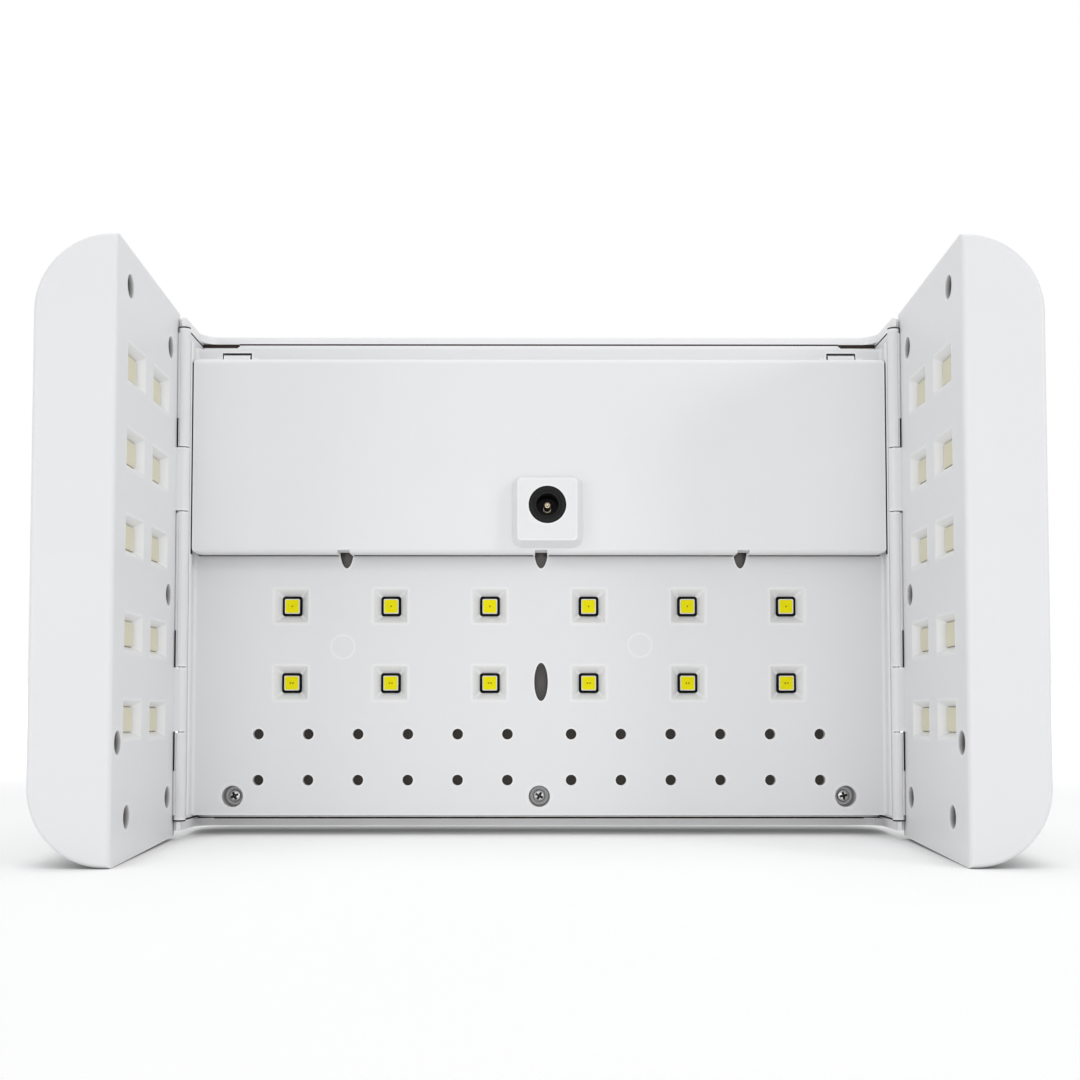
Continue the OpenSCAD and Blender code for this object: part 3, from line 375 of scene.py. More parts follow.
def mesh_cloth(name):
    """Fine dark screen behind the air holes: crossed threads as two wave patterns."""
    material = plastic(name, (0.070, 0.060, 0.052), 0.6, sheen=0.25)
    tree = material.node_tree
    colour, base = base_colour(tree)
    place = tree.nodes.new("ShaderNodeTexCoord")
    threads = []
    for direction in ("X", "Z"):
        wave = tree.nodes.new("ShaderNodeTexWave")
        wave.bands_direction = direction
        wave.inputs["Scale"].default_value = 700.0
        tree.links.new(place.outputs["Object"], wave.inputs["Vector"])
        threads.append(wave.outputs["Fac"])
    crossing = tree.nodes.new("ShaderNodeMath")
    crossing.operation = "MULTIPLY"
    tree.links.new(threads[0], crossing.inputs[0])
    tree.links.new(threads[1], crossing.inputs[1])
    tree.links.new(over(tree, base, (0.035, 0.030, 0.026), crossing.outputs[0]), colour)
    return material


def circuit_board(name, mask, copper):
    """Solder mask with faint copper tracks under it, drawn by a brick pattern."""
    material = plastic(name, mask, 0.5, sheen=0.06)
    tree = material.node_tree
    colour, base = base_colour(tree)
    place = tree.nodes.new("ShaderNodeTexCoord")
    turn = tree.nodes.new("ShaderNodeMapping")
    turn.inputs["Rotation"].default_value = (math.pi / 2, 0, 0)
    tracks = tree.nodes.new("ShaderNodeTexBrick")
    tracks.inputs["Scale"].default_value = 90.0
    tracks.inputs["Mortar Size"].default_value = 0.03
    tree.links.new(place.outputs["Object"], turn.inputs["Vector"])
    tree.links.new(turn.outputs["Vector"], tracks.inputs["Vector"])
    tree.links.new(over(tree, base, copper, tracks.outputs["Fac"]), colour)
    return material


def well_shade_plastic(name):
    """White plastic inside a deep screw well with painted shade, greyer towards its floor.

    The attribute `cell` gives in its first number the depth, from 0 at the face to 1.
    """
    material = plastic(name, (0.80, 0.805, 0.82), 0.4)
    tree = material.node_tree
    colour, base = base_colour(tree)
    parts = cell_parts(tree)
    # Painted shade: greyer with depth down the well
    deep = ramp(tree, parts.outputs["X"], 0.06, 0.7, 0.0, 1.0)
    painted_well_shade = over(tree, base, (0.20, 0.185, 0.175), deep.outputs["Result"])
    tree.links.new(painted_well_shade, colour)
    return material


PANEL_WHITE = (0.82, 0.823, 0.832)
# One material for each slot of the record, and below it those that some pieces have instead
MATERIALS = {
    # gap_shade paints shade into gaps and inner corners, rim paints a highlight along outer
    # edges
    "white_plastic": plastic("white_plastic", (0.85, 0.853, 0.86), 0.38, gap_shade=0.9,
                             rim=0.8),
    "panel_plastic": plastic("panel_plastic", PANEL_WHITE, 0.4, gap_shade=0.75, rim=0.8),
    "button_plastic": plastic("button_plastic", (0.70, 0.71, 0.73), 0.45),
    "black_plastic": plastic("black_plastic", (0.010, 0.010, 0.0105), 0.42, sheen=0.15),
    "smoked_window": plastic("smoked_window", (0.050, 0.044, 0.040), 0.25, sheen=0.3),
    "sensor_black": plastic("sensor_black", (0.02, 0.02, 0.022), 0.3, sheen=0.3),
    "led_package": plastic("led_package", (0.95, 0.95, 0.93), 0.4),
    "led_phosphor": phosphor("led_phosphor"),
    "emitter_resin": plastic("emitter_resin", (0.76, 0.72, 0.54), 0.4, grain=0.4),
    "led_board": circuit_board("led_board", (0.004, 0.005, 0.007), (0.012, 0.012, 0.012)),
    "control_board": circuit_board("control_board", (0.02, 0.12, 0.05), (0.10, 0.26, 0.10)),
    "screw_steel": metal("screw_steel", (0.50, 0.50, 0.50), 0.3),
    "pin_steel": metal("pin_steel", (0.5, 0.51, 0.52), 0.3),
    "contact_metal": metal("contact_metal", (0.55, 0.48, 0.36), 0.3),
}
# A paler copy of the white plastic for the shells, which paints light onto their shaded rims
LIT_SHELL_PLASTIC = plastic("lit_shell_plastic", (0.92, 0.922, 0.928), 0.38, gap_shade=0.1, rim=0.8)
WING_PLASTIC = plastic("wing_plastic", (0.83, 0.833, 0.842), 0.4, gap_shade=0.35, rim=0.8)
LINING_PLASTIC = plastic("lining_plastic", (0.86, 0.862, 0.866), 0.4, gap_shade=0.15)
LIP_PLASTIC = plastic("lip_plastic", (0.86, 0.86, 0.865), 0.4)
# Near-black for strips that paint the shade in narrow joints and slots
GAP_SHADOW_DARK = plastic("gap_shadow_dark", (0.030, 0.021, 0.016), 0.7, sheen=0.2)
WELL_SHADE_PLASTIC = well_shade_plastic("well_shade_plastic")
SCREEN_CLOTH = mesh_cloth("screen_cloth")
RECESS_SHADE_STEEL = recess_shade_steel("recess_shade_steel")


# Surfaces on grids of points

def grid_faces(rows, columns):
    """Corner numbers of the faces between neighbours, the last column joined to the first."""
    row = np.arange(rows - 1)[:, None]
    column = np.arange(columns)[None, :]
    beside = (column + 1) % columns
    round_face = [row * columns + column, row * columns + beside,
                  (row + 1) * columns + beside, (row + 1) * columns + column]
    return np.stack(round_face, axis=-1).reshape(-1, 4)


def build(name, forms, material_slot, body, stands_for=(), marks=None, smooth=40.0,
          material=None):
    """One piece from forms, each an array of copies, rows, columns and 3 numbers in metres.

    Columns run round the form and close on themselves. Points that coincide, as at poles and
    where the last row meets the first, are merged, so that every form is a closed skin.
    """
    points, faces, start = [], [], 0
    for form in forms:
        copies, rows, columns = form.shape[:3]
        points.append(form.reshape(-1, 3))
        first = start + np.arange(copies)[:, None, None] * rows * columns
        faces.append((grid_faces(rows, columns)[None] + first).reshape(-1, 4))
        start += copies * rows * columns
    mesh = bpy.data.meshes.new(name)
    mesh.from_pydata(np.concatenate(points).tolist(), [], np.concatenate(faces).tolist())
    if marks is not None:
        cell = mesh.attributes.new("cell", "FLOAT_VECTOR", "POINT")
        cell.data.foreach_set("vector", np.ascontiguousarray(marks, np.float32).ravel())
    skin = bmesh.new()
    skin.from_mesh(mesh)
    bmesh.ops.remove_doubles(skin, verts=skin.verts, dist=2e-7)
    bmesh.ops.recalc_face_normals(skin, faces=skin.faces)
    skin.to_mesh(mesh)
    skin.free()
    mesh.shade_smooth()
    mesh.set_sharp_from_angle(angle=math.radians(smooth))
    piece = bpy.data.objects.new(name, mesh)
    bpy.context.scene.collection.objects.link(piece)
    piece.data.materials.append(material or MATERIALS[material_slot])
    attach(piece, body)
    if stands_for:
        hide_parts(*stands_for)
    return piece


def rounded_loop(wide, high, corner, count=48):
    """Points round rectangles with round corners, one rectangle per entry.

    Each quarter of the points turns by 90 degrees round its corner's centre: half a side less
    the radius, with that quarter's signs, plus the radius times (cos, sin) of the angle.
    """
    number = np.arange(count)
    quarter = number // (count // 4)
    angle = np.radians(90) * (quarter + (number % (count // 4)) / (count // 4 - 1))
    side_x = np.array([1, -1, -1, 1])[quarter]
    side_z = np.array([1, 1, -1, -1])[quarter]
    wide, high, corner = [np.asarray(v, float)[..., None] for v in (wide, high, corner)]
    across = side_x * (wide / 2 - corner) + corner * np.cos(angle)
    up = side_z * (high / 2 - corner) + corner * np.sin(angle)
    return across, up


def sleeve(rows, count=48):
    """A form through rounded rectangles: each row is width, height, corner radius, depth."""
    rows = np.asarray(rows, float)
    across, up = rounded_loop(rows[:, 0], rows[:, 1], rows[:, 2], count)
    return np.stack([across, up, np.broadcast_to(rows[:, 3:4], across.shape)], axis=-1)


def turned(profile, count=64):
    """A form turned about its own axis: each row of the profile is radius, depth."""
    profile = np.asarray(profile, float)
    angle = np.linspace(0, 2 * np.pi, count, endpoint=False)[None, :]
    radius = profile[:, 0:1]
    depth = np.broadcast_to(profile[:, 1:2], (len(profile), count))
    return np.stack([radius * np.cos(angle), radius * np.sin(angle), depth], axis=-1)


def set_in(form, centres, facing="front"):
    """Copies of a form at centres. A form's numbers are across, up and depth.

    On the front and back, depth counts from the hinge plane. On a wing's inner face, the
    centre and across run back from the hinge plane, and depth counts from the middle.
    """
    centres = np.asarray(centres, float)
    across = form[None, ..., 0] + centres[:, None, None, 0]
    up = form[None, ..., 1] + centres[:, None, None, 1]
    depth = np.broadcast_to(form[..., 2], across.shape)
    if facing == "front":
        return spot(across, depth, up)
    return spot(depth if facing == "right" else -depth, across, up)


def strip(along, start, end, centre, size):
    """A form straight along one axis: a rounded rectangle of a size round a centre, in the
    order across, back, up without that axis, carried from start to end and closed there."""
    u, v = rounded_loop([size[0]] * 4, [size[1]] * 4, [min(size) * 0.45] * 4, 24)
    grow = np.array([0, 1, 1, 0])[:, None]
    at = np.array([start, start, end, end])[:, None]
    place = [centre[0] + u * grow, centre[1] + v * grow]
    place.insert(("across", "back", "up").index(along), at)
    return spot(*place)[None]


# Lights behind the panel

PANEL_FACE = 13.0
PANEL_BACK = 15.4
BOARD_FACE = 15.6
LED_X = np.arange(-2.5, 3) * 27.8
LED_Z = -29.8 + np.arange(4) * 21.6
LED_AT = np.array([(x, z) for z in LED_Z for x in LED_X])
PROUD = 0.03


def pocket_rows(mouth_w, mouth_h, throat_w, throat_h, face, back, mouth_corner, corner):
    """Rows of a pocket's lining: a square border on the face, a quarter round, the sloping
    wall and the throat, then back outside the wall to where it began."""
    lip = 0.2
    rows = [(mouth_w + 2 * lip + 0.1, mouth_h + 2 * lip + 0.1, 0.08, face - PROUD)]
    steps = np.linspace(0, 1, 6)
    draft_w = (mouth_w - throat_w) / (back - face)
    draft_h = (mouth_h - throat_h) / (back - face)
    for t in steps:
        round_in = math.sin(t * math.pi / 2)
        drop = lip * (1 - math.cos(t * math.pi / 2))
        rows.append((mouth_w + 2 * lip * (1 - round_in) - draft_w * drop - 2 * PROUD,
                     mouth_h + 2 * lip * (1 - round_in) - draft_h * drop - 2 * PROUD,
                     mouth_corner + 0.1 * (1 - t), face - PROUD + drop))
    rows.append((throat_w - 2 * PROUD, throat_h - 2 * PROUD, corner, back))
    rows.append((throat_w - 2 * PROUD, throat_h - 2 * PROUD, corner, back + 0.12))
    rows.append((throat_w + 0.5, throat_h + 0.5, corner, back + 0.12))
    rows.append((mouth_w + 0.5, mouth_h + 0.5, 0.4, face + 0.25))
    rows.append(rows[0])
    return rows


def centre_lights():
    """The pockets' linings, the light packages and their phosphor. The phosphor is a rounded
    square drawn in to its middle, whose depth rises with the square of the share left."""
    lining = sleeve(pocket_rows(9.5, 9.5, 5.7, 5.7, PANEL_FACE, PANEL_BACK, 0.45, 0.8))
    build("light_pocket_linings", [set_in(lining, LED_AT)], "panel_plastic", "body",
          material=LINING_PLASTIC)
    package = sleeve([
        (0, 0, 0, BOARD_FACE), (4.1, 4.1, 0.35, BOARD_FACE), (4.1, 4.1, 0.35, 14.72),
        (4.02, 4.02, 0.32, 14.63), (3.92, 3.92, 0.3, 14.6), (3.78, 3.78, 0.28, 14.6),
        (3.70, 3.70, 0.26, 14.68), (3.66, 3.66, 0.25, 14.95), (0, 0, 0, 14.95)])
    build("light_packages", [set_in(package, LED_AT)], "led_package", "body",
          ["centre_led_bodies"])
    side = 3.64
    across, up = rounded_loop(np.full(7, side), np.full(7, side), np.full(7, 0.25))
    share = np.linspace(0, 1, 7)[:, None]
    swell = 14.76 - 0.10 * (1 - share ** 2)
    cap = np.stack([across * share, up * share, np.broadcast_to(swell, across.shape)], axis=-1)
    foot = np.stack([across[:2], up[:2], np.full_like(across[:2], 14.93)], axis=-1)
    foot[1, :, :2] = 0
    cap = np.concatenate([cap, foot])
    forms = set_in(cap, LED_AT)
    marks = np.zeros(forms.shape)
    marks[..., 0] = cap[None, ..., 0] / (side / 2)
    marks[..., 1] = cap[None, ..., 1] / (side / 2)
    marks[..., 2] = np.where(LED_AT[:, 1] < -20, 0.2, 0.0)[:, None, None]
    build("light_phosphors", [forms], "led_phosphor", "body", ["centre_led_phosphors"],
          marks=marks.reshape(-1, 3))


# Openings of the panel

OVAL_AT = np.array([(-54, 7.7), (0.5, 7.7), (56.4, 7.7), (0.5, -29.5)])


def sensor_lenses():
    """Domed oval lenses with a flange behind the panel: ellipses whose depth falls with the
    square of the distance from the middle."""
    share = np.linspace(0, 1, 9)
    wide = list(3.7 * share) + [3.7, 4.7, 4.7, 0]
    high = list(10.6 * share) + [10.6, 11.6, 11.6, 0]
    depth = list(13.5 - 0.28 * (1 - share ** 2)) + [13.9, 13.9, 14.7, 14.7]
    angle = np.linspace(0, 2 * np.pi, 56, endpoint=False)[None, :]
    wide, high, depth = [np.array(v)[:, None] for v in (wide, high, depth)]
    form = np.stack([wide / 2 * np.cos(angle), high / 2 * np.sin(angle),
                     np.broadcast_to(depth, (len(depth), 56))], axis=-1)
    build("sensor_lenses", [set_in(form, OVAL_AT)], "smoked_window", "body",
          ["sensor_windows"])


def air_screens():
    """Two flat strips of screen cloth behind the air holes."""
    cloth = sleeve([(0, 0, 0, 15.45), (74.2, 18.0, 0.6, 15.45), (74.4, 18.2, 0.7, 15.55),
                    (74.4, 18.2, 0.7, 15.7), (74.2, 18.0, 0.6, 15.8), (0, 0, 0, 15.8)])
    build("air_screens", [set_in(cloth, [(-43.5, -50.3), (43.5, -50.3)])], "black_plastic",
          "body", material=SCREEN_CLOTH)


def moulding_marks():
    """Two faint rings that ejector pins left in the panel's face."""
    ring = turned([(3.22, 13.03), (3.3, 12.975), (3.38, 13.03), (3.38, 13.1), (3.22, 13.1),
                   (3.22, 13.03)], 72)
    build("moulding_marks", [set_in(ring, [(-55.0, -19.7), (28.2, -19.2)])],
          "panel_plastic", "body", material=LINING_PLASTIC)


# Screws and their wells

SCREW_HEAD = 1.3


def cross_screw(top, head_r, length):
    """A pan head with a cross recess over a plain shank with a point, turned about one axis.

    The head's depth grows with the square of the share of its radius. The recess adds to it
    where either arm is near: an arm is the product of two soft steps, one across its width and
    one along its length, and its width shrinks away from the middle. The second array says how
    deep in the recess or how near the rim a point lies, from 0 to 1, and so how much painted
    shade the steel gets there.
    """
    count = 72
    share = np.concatenate([np.linspace(0, 0.86, 20), [0.93, 1.0]])
    angle = np.linspace(0, 2 * np.pi, count, endpoint=False)[None, :]
    radius = (head_r * share)[:, None]
    a, b = radius * np.cos(angle), radius * np.sin(angle)
    crown = 0.26 * SCREW_HEAD * share[:, None] ** 2 + 0.16 * np.clip(share[:, None] - 0.9, 0, 1)

    def step(distance, soft):
        t = np.clip(distance / soft + 0.5, 0, 1)
        return t * t * (3 - 2 * t)

    def arm(along, aside):
        width = head_r * (0.20 - 0.08 * np.abs(along) / head_r)
        return step(width - np.abs(aside), 0.12) * step(head_r * 0.62 - np.abs(along), 0.2)

    hollow = np.maximum(arm(a, b), arm(b, a))
    head = np.stack([a, b, top + crown + 0.6 * SCREW_HEAD * hollow], axis=-1)
    seat = top + SCREW_HEAD
    shank = turned([(head_r, seat - 0.15), (head_r * 0.95, seat), (0.9, seat),
                    (0.9, seat + length - 0.9), (0.27, seat + length), (0, seat + length)],
                   count)
    form = np.concatenate([head, shank])
    marks = np.zeros(form.shape)
    # Painted shade: dark in the recess and, at 0.6, round the head's edge
    marks[:len(head), :, 0] = np.maximum(hollow, np.clip(share[:, None] * 6 - 5, 0, 1) * 0.6)
    return form, marks


def well_sleeve(radius, face, depth):
    """A thin lining of a round screw well with a rounded rim, and how deep each row lies."""
    lip = 0.34
    angle = np.linspace(0, np.pi / 2, 6)
    rim_r = radius + lip * (1 - np.sin(angle)) - PROUD
    rim_d = face - PROUD + lip * (1 - np.cos(angle))
    down = np.linspace(0.12, 1, 7) * depth + face - 0.05
    profile = ([(radius + lip + 0.06, face - PROUD)] + list(zip(rim_r, rim_d))
               + [(radius - PROUD, d) for d in down]
               + [(radius - 0.5, face + depth - 0.05), (radius - 0.5, face + depth + 0.1),
                  (radius + 0.2, face + depth + 0.1), (radius + 0.2, face + 0.3),
                  (radius + lip + 0.06, face - PROUD)])
    form = turned(profile, 48)
    return form, np.clip((form[..., 2] - face) / depth, 0, 1)


def add_wells(name, radius, face, depth, centres, facing, body, shade):
    """Well linings at centres, marked with their depth times `shade` for the painted shade."""
    form, deep = well_sleeve(radius, face, depth)
    forms = set_in(form, centres, facing)
    marks = np.zeros(forms.shape)
    # How much painted shade each point of the well gets
    marks[..., 0] = deep[None] * shade
    build(name, [forms], "panel_plastic", body, marks=marks.reshape(-1, 3),
          material=WELL_SHADE_PLASTIC)


PANEL_SCREWS = np.array([(x, z) for z in (-61.4, 47.5) for x in (-85.5, 0, 85.5)])
TURNS = np.radians([24, 61, 12, 40, 75, 8])


def spun(form, turn):
    """A form turned about its own axis by an angle."""
    a, b = form[..., 0], form[..., 1]
    return np.stack([a * math.cos(turn) - b * math.sin(turn),
                     a * math.sin(turn) + b * math.cos(turn), form[..., 2]], axis=-1)


def panel_fixings():
    """The panel's six screws, each turned another way, and their wells."""
    screw, marks = cross_screw(PANEL_FACE + 4.3 - SCREW_HEAD, 1.7, 8.0)
    forms = [set_in(spun(screw, turn), [at]) for turn, at in zip(TURNS, PANEL_SCREWS)]
    build("panel_cross_screws", forms, "screw_steel", "body", ["panel_screws"],
          marks=np.tile(marks.reshape(-1, 3), (len(forms), 1)), material=RECESS_SHADE_STEEL)
    add_wells("panel_screw_wells", 3.0, PANEL_FACE, 4.3, PANEL_SCREWS, "front", "body", 0.6)


def panel_corners():
    """Hollow roundings where the panel's face meets the side walls: a quarter circle and the
    corner behind it, carried up from the panel's lower edge to its upper one."""
    radius = 0.8
    angle = np.linspace(0, np.pi / 2, 9)
    across = np.append(96.8 - radius + radius * np.cos(angle), [96.9, 96.9])
    back = np.append(PANEL_FACE - radius + radius * np.sin(angle), [13.1, PANEL_FACE - radius])
    up = np.array([-66.3, -66.3, 64.8, 64.8])[:, None]
    forms = []
    for side in (-1, 1):
        a = np.repeat(across[None], 4, axis=0)
        b = np.repeat(back[None], 4, axis=0)
        a[[0, 3]], b[[0, 3]] = 96.7, 12.9
        forms.append(spot(side * a, b, np.broadcast_to(up, a.shape))[None])
    build("panel_corner_roundings", forms, "panel_plastic", "body", material=LINING_PLASTIC)


# Wings

WING_FACE = 99.0
POCKET_Y = (-17.3, -41.5)
POCKET_Z = (46.2, 25.4, 4.5, -19.1, -40.0)
POCKET_AT = np.array([(y, z) for y in POCKET_Y for z in POCKET_Z])
FLARE = (148.8 - 143.0) / 2 / (59.4 + 2.4)


def wing_edge(back):
    """Half the height of a wing at a depth: its root's half, and the flare times the way."""
    return 71.5 + (2.4 - back) * FLARE


WING_SCREWS = np.array(
    [(-y, wing_edge(-y) - z) for y, z in ((47.8, 9.1), (7.4, 12.0))]
    + [(-y, z - wing_edge(-y)) for y, z in ((54.0, 28.7), (5.7, 11.2), (45.5, 10.4))]
    + [(-6.9, -6.7)])


def wing_details(side):
    """A wing's pocket linings, its diffusers through rounded rectangles, screws and wells."""
    body = side + "_wing"
    lining = sleeve(pocket_rows(16.2, 9.2, 13.2, 6.2, WING_FACE, WING_FACE + 2.2, 0.6, 0.5))
    build(side + "_wing_pocket_linings", [set_in(lining, POCKET_AT, side)], "panel_plastic",
          body, material=LINING_PLASTIC)
    front = WING_FACE + 1.75
    emitter = sleeve([
        (0, 0, 0, front), (6.4, 2.6, 0.6, front), (11.0, 5.2, 0.8, front),
        (12.5, 5.7, 0.8, front + 0.03), (12.8, 6.0, 0.8, front + 0.14),
        (12.8, 6.0, 0.8, WING_FACE + 2.4), (0, 0, 0, WING_FACE + 2.4)])
    build(side + "_wing_diffusers", [set_in(emitter, POCKET_AT, side)], "emitter_resin", body,
          [side + "_wing_emitters"])
    screw, marks = cross_screw(WING_FACE + 7.5 - SCREW_HEAD, 2.2, 8.0)
    forms = [set_in(spun(screw, turn), [at], side) for turn, at in zip(TURNS, WING_SCREWS)]
    build(side + "_wing_cross_screws", forms, "screw_steel", body, [side + "_wing_screws"],
          marks=np.tile(marks.reshape(-1, 3), (len(forms), 1)), material=RECESS_SHADE_STEEL)
    add_wells(side + "_wing_screw_wells", 2.9, WING_FACE, 7.5, WING_SCREWS, side, body, 4.0)


HINGE_AT = (97.4, 1.2)
LIPS = ((42.3, 65.8), (-15.8, 16.2), (-65.8, -53.9))
SLOTS = ((34.4, 42.3), (-25.7, -15.8), (-53.9, -43.5))
EAR_JOINT = 67.25
RIM_FRONT = 21.46
CORNER_FROM = 86.3
CORNER_TO = 96.6


def hinge_band(side, low, high, inner, outer, first=-62, last=36):
    """A form: a rectangle between two radii carried round the hinge axis from one angle to
    another, in degrees, and closed at both ends."""
    angle = np.radians(np.linspace(first, last, 13))
    angle = np.concatenate([angle[:1], angle, angle[-1:]])[:, None]
    radius = np.array([inner, outer, outer, inner])[None, :].repeat(15, axis=0)
    up = np.array([low, low, high, high])[None, :].repeat(15, axis=0)
    radius[[0, -1]], up[[0, -1]] = (inner + outer) / 2, (low + high) / 2
    across = HINGE_AT[0] + radius * np.cos(angle)
    back = HINGE_AT[1] + radius * np.sin(angle)
    return spot(across if side == "right" else -across, back, up)[None]


def hinge_lips(side):
    """Thin curved lips on a wing's edge that close the gap beside the centre's knuckles and
    leave three slots open, and dark linings in those slots that paint their shade."""
    lips = [hinge_band(side, low, high, 1.71, 1.93) for low, high in LIPS]
    lips += [hinge_band(side, low, high, 1.71, 1.91, last=-55) for low, high in SLOTS]
    build(side + "_hinge_lips", lips, "panel_plastic", side + "_wing", material=LIP_PLASTIC)
    # Dark linings that paint the shade inside the three slots
    slots = [hinge_band(side, low, high, 1.66, 1.76) for low, high in SLOTS]
    build(side + "_slot_shadow_linings", slots, "black_plastic", "body", material=GAP_SHADOW_DARK)


def gap_shadow_strips():
    """Dark strips that paint the shade in the joints round the light panel, along both rims and
    under and over the ears, and dark round washers between the ears and the knuckles that paint
    the shade there too; and painted shadow lines beside the flap and along its lower back edge."""
    forms = [strip("across", -CORNER_FROM, CORNER_FROM, (RIM_FRONT, 67.85), (0.12, 0.5)),
             strip("across", -CORNER_TO, CORNER_TO, (RIM_FRONT, -67.75), (0.12, 0.7))]
    turn = np.linspace(0, 2 * np.pi, 40, endpoint=False)[None, :]
    for side in (-1, 1):
        forms.append(strip("across", side * CORNER_FROM, side * CORNER_TO, (21.1, 67.38),
                           (0.24, 1.0)))
        for up in (-EAR_JOINT, EAR_JOINT):
            forms.append(strip("back", 3.4, 21.3, (side * 97.49, up), (1.6, 0.66)))
            radius = np.array([0, 1.6, 1.6, 0])[:, None]
            thick = np.array([-0.25, -0.25, 0.25, 0.25])[:, None]
            forms.append(spot(side * (HINGE_AT[0] + radius * np.cos(turn)),
                              HINGE_AT[1] + radius * np.sin(turn), up + thick)[None])
    build("panel_gap_shadows", forms, "black_plastic", "body", material=GAP_SHADOW_DARK)
    # Painted shadow lines in the gaps beside the flap and under its lower back edge
    gaps = [strip("up", 5.6, 58.8, (side * 96.02, 5.85), (0.12, 1.5)) for side in (-1, 1)]
    build("flap_side_gap_shadows", gaps, "black_plastic", "body", material=GAP_SHADOW_DARK)
    runs = ((-95.2, -56.2), (-51.8, -1.7), (2.7, 54.2), (58.6, 95.2))
    rest = [strip("across", low, high, (11.5, 5.79), (2.0, 0.14)) for low, high in runs]
    build("flap_rest_shadow_strip", rest, "black_plastic", "flap", material=GAP_SHADOW_DARK)


def side_beads():
    """Narrow beads on the side walls beside the flap: a small round-nosed section carried
    from the lower rim to the upper one."""
    angle = np.linspace(-np.pi / 2, 0, 6)
    across = np.concatenate([96.35 + 0.3 * np.sin(angle), [96.05, 96.9, 96.9]])
    back = np.concatenate([4.9 - 0.3 * np.cos(angle), [6.6, 7.2, 4.6]])
    up = np.array([-66.2, -66.2, 64.6, 64.6])[:, None]
    forms = []
    for side in (-1, 1):
        a, b = np.repeat(across[None], 4, axis=0), np.repeat(back[None], 4, axis=0)
        a[[0, 3]], b[[0, 3]] = 96.6, 5.6
        forms.append(spot(side * a, b, np.broadcast_to(up, a.shape))[None])
    build("side_wall_beads", forms, "panel_plastic", "body")


# Power socket, buttons and display window

JACK_AT = (2.2, 18.5)
BOSS_FRONT = -0.5


def power_socket():
    """The socket and its pin, both turned. The ring's outer edge and the hole's lip are quarter
    rounds, with a shallow groove between them. The pin's tip has a step round its middle."""
    front = BOSS_FRONT
    angle = np.linspace(0, np.pi / 2, 5)
    edge = [(4.7 + 0.35 * math.cos(t), front + 0.35 - 0.35 * math.sin(t)) for t in angle]
    lip = [(3.0 + 0.3 * (1 - math.cos(t)), front + 0.3 - 0.3 * math.sin(t)) for t in angle]
    profile = ([(0, 10.9), (5.05, 10.9), (5.05, 2.9), (5.75, 2.9), (5.75, 1.3), (5.05, 1.3)]
               + edge + [(3.95, front), (3.85, front + 0.14), (3.6, front + 0.14),
                         (3.5, front)] + lip[::-1]
               + [(3.0, front + 9.5), (0, front + 9.5)])
    build("socket_ring", [set_in(turned(profile, 96), [JACK_AT])], "black_plastic", "flap",
          ["jack_housing"], smooth=35)
    tip = [(0, 0.75), (0.3, 0.8), (0.42, 0.95), (0.42, 2.3), (0.7, 2.3), (0.7, 2.0),
           (0.8, 1.9), (0.95, 2.05)]
    pin = np.array(tip + [(0.95, 9.4), (1.05, 9.4), (1.05, 10.5), (0, 10.5)])
    pin[:, 1] += front
    build("socket_pin", [set_in(turned(pin, 40), [JACK_AT])], "contact_metal", "flap",
          ["jack_pin"])


def back_controls():
    """Dished button caps and a crowned display window on the back face, depth 38."""
    for name, across in (("left", -24.0), ("middle", 0.0), ("right", 24.0)):
        share = np.linspace(0, 1, 8)
        dish = [(3.9 * s, 38.62 + 0.10 * s ** 2) for s in share]
        angle = np.linspace(0, np.pi / 2, 6)
        edge = [(4.55 + 0.4 * math.sin(t), 38.38 + 0.4 * math.cos(t)) for t in angle]
        under = (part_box(name + "_button")[0][1] - HINGE_PLANE_Y) / MM
        profile = dish + edge + [(5.0, 36.0), (5.6, 35.85), (5.6, under), (0, under)]
        build(name + "_button_cap", [set_in(turned(profile, 72), [(across, -22.0)])],
              "button_plastic", name + "_button", [name + "_button"])
    window = sleeve([
        (0, 0, 0, 37.98), (14, 5, 1.4, 37.97), (22, 9, 1.5, 37.93), (25.3, 11.3, 1.6, 37.86),
        (25.7, 11.7, 1.7, 37.7), (25.8, 11.8, 1.75, 37.5), (25.8, 11.8, 1.75, 35.9),
        (27.9, 13.9, 2.6, 35.9), (27.9, 13.9, 2.6, 35.15), (0, 0, 0, 35.15)])
    build("display_glass", [set_in(window, [(0, 0)])], "smoked_window", "body",
          ["display_window"])


# Mouldings with rounded edges

def rounding(piece, width, segments, picked):
    """A bevel of the edges that are weighted, or else of all sharp ones."""
    bevel = piece.modifiers.new("rounding", "BEVEL")
    bevel.width = width
    bevel.segments = segments
    bevel.use_clamp_overlap = True
    bevel.harden_normals = False
    if picked:
        bevel.limit_method = "WEIGHT"
    else:
        bevel.limit_method = "ANGLE"
        bevel.angle_limit = math.radians(30)


def even_normals(piece):
    """Normals by face size, so that flat faces stay flat beside roundings."""
    normal = piece.modifiers.new("normals", "WEIGHTED_NORMAL")
    normal.keep_sharp = False
    normal.weight = 100


def soften(node, width):
    """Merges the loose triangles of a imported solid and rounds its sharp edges."""
    piece = frame["nodes"][node]
    weld = piece.modifiers.new("weld", "WELD")
    weld.merge_threshold = 2e-6
    flat = piece.modifiers.new("flat", "DECIMATE")
    flat.decimate_type = "DISSOLVE"
    flat.angle_limit = math.radians(1.0)
    rounding(piece, width, 2, False)
    even_normals(piece)


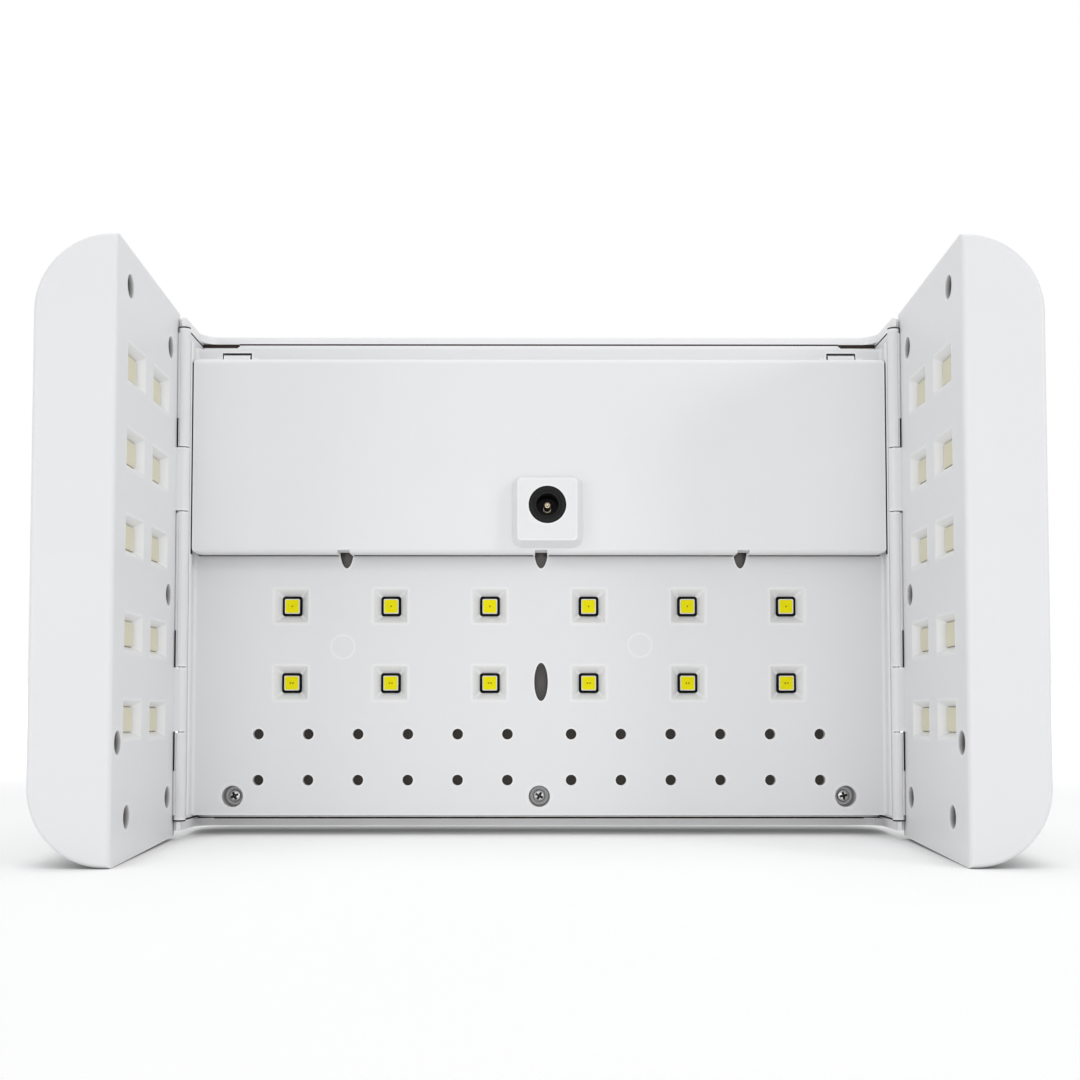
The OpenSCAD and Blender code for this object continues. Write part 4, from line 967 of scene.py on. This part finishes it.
def moulding(name, node, body, slot, wide, pick, widen=0.0, joined_from=-99.0, material=None):
    """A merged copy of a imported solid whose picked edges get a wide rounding, the rest a fine
    one. `pick` is given the two ends of every edge in millimetres and says yes or no. Its
    outermost sides may be moved out by `widen` millimetres. Flat areas behind the depth
    `joined_from` are joined into single faces."""
    mesh = bpy.data.meshes.new(name)
    skin = bmesh.new()
    skin.from_mesh(frame["nodes"][node].data)
    bmesh.ops.remove_doubles(skin, verts=skin.verts, dist=2e-6)
    behind = HINGE_PLANE_Y + joined_from * MM
    edges = [edge for edge in skin.edges if min(v.co.y for v in edge.verts) > behind]
    bmesh.ops.dissolve_limit(skin, angle_limit=math.radians(1.0), verts=[], edges=edges)
    bends = np.array([edge.calc_face_angle(0.0) for edge in skin.edges])
    skin.to_mesh(mesh)
    skin.free()
    if "custom_normal" in mesh.attributes:
        mesh.attributes.remove(mesh.attributes["custom_normal"])
    place = np.empty(len(mesh.vertices) * 3, np.float32)
    mesh.vertices.foreach_get("co", place)
    place = (place.reshape(-1, 3) - spot(0.0, 0.0, 0.0)) / MM
    outer = np.abs(place[:, 0]) > np.abs(place[:, 0]).max() - 0.5
    place[:, 0] += np.where(outer, widen * np.sign(place[:, 0]), 0)
    mesh.vertices.foreach_set("co", spot(*place.T).astype(np.float32).ravel())
    ends = np.empty(len(mesh.edges) * 2, np.int32)
    mesh.edges.foreach_get("vertices", ends)
    ends = place[ends.reshape(-1, 2)]
    weight = mesh.attributes.new("bevel_weight_edge", "FLOAT", "EDGE")
    chosen = pick(ends) & (bends > 0.5)
    weight.data.foreach_set("value", chosen.astype(np.float32))
    mesh.shade_smooth()
    piece = bpy.data.objects.new(name, mesh)
    bpy.context.scene.collection.objects.link(piece)
    mesh.materials.clear()
    mesh.materials.append(material or MATERIALS[slot])
    rounding(piece, wide, 5, True)
    rounding(piece, 0.25 * MM, 2, False)
    even_normals(piece)
    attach(piece, body)
    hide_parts(node)


def at_wing_end(ends):
    """Edges of a wing's free end face."""
    return (np.abs(ends[..., 1] + 59.4) < 0.02).all(axis=1)


def at_boss_front(ends):
    """Outer edges of the boss's front face, not those of the socket's hole."""
    front = (np.abs(ends[..., 1] - BOSS_FRONT) < 0.02).all(axis=1)
    away = np.hypot(ends[..., 0] - JACK_AT[0], ends[..., 2] - JACK_AT[1]).min(axis=1)
    return front & (away > 6.0)


def dress():
    """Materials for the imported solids, and rounded edges for the visible ones."""
    slots = {s["node"]: s["material_slot"] for s in frame["record"]["subparts"]}
    for node, piece in frame["nodes"].items():
        piece.data.materials.clear()
        piece.data.materials.append(MATERIALS[slots[node]])
    # The shells take the paler copy that paints light onto their shaded rims
    for node in ("centre_shell", "left_wing_shell", "right_wing_shell"):
        frame["nodes"][node].data.materials[0] = LIT_SHELL_PLASTIC
    soften("light_panel", 0.25 * MM)
    soften("centre_shell", 0.35 * MM)
    for side in ("left", "right"):
        soften(side + "_wing_shell", 0.25 * MM)
        moulding(side + "_wing_front", side + "_wing_cover", side + "_wing", "panel_plastic",
                 1.3 * MM, at_wing_end, material=WING_PLASTIC)
    moulding("flap_front", "flap_shell", "flap", "white_plastic", 0.8 * MM, at_boss_front,
             widen=0.3, joined_from=BOSS_FRONT + 0.1)


make_camera()
make_floor()
make_world()
for lamp in LAMPS:
    area_lamp(*lamp)
dress()
centre_lights()
sensor_lenses()
air_screens()
moulding_marks()
panel_fixings()
panel_corners()
side_beads()
gap_shadow_strips()
for side in ("left", "right"):
    wing_details(side)
    hinge_lips(side)
power_socket()
back_controls()

bpy.context.scene.view_settings.view_transform = "Standard"
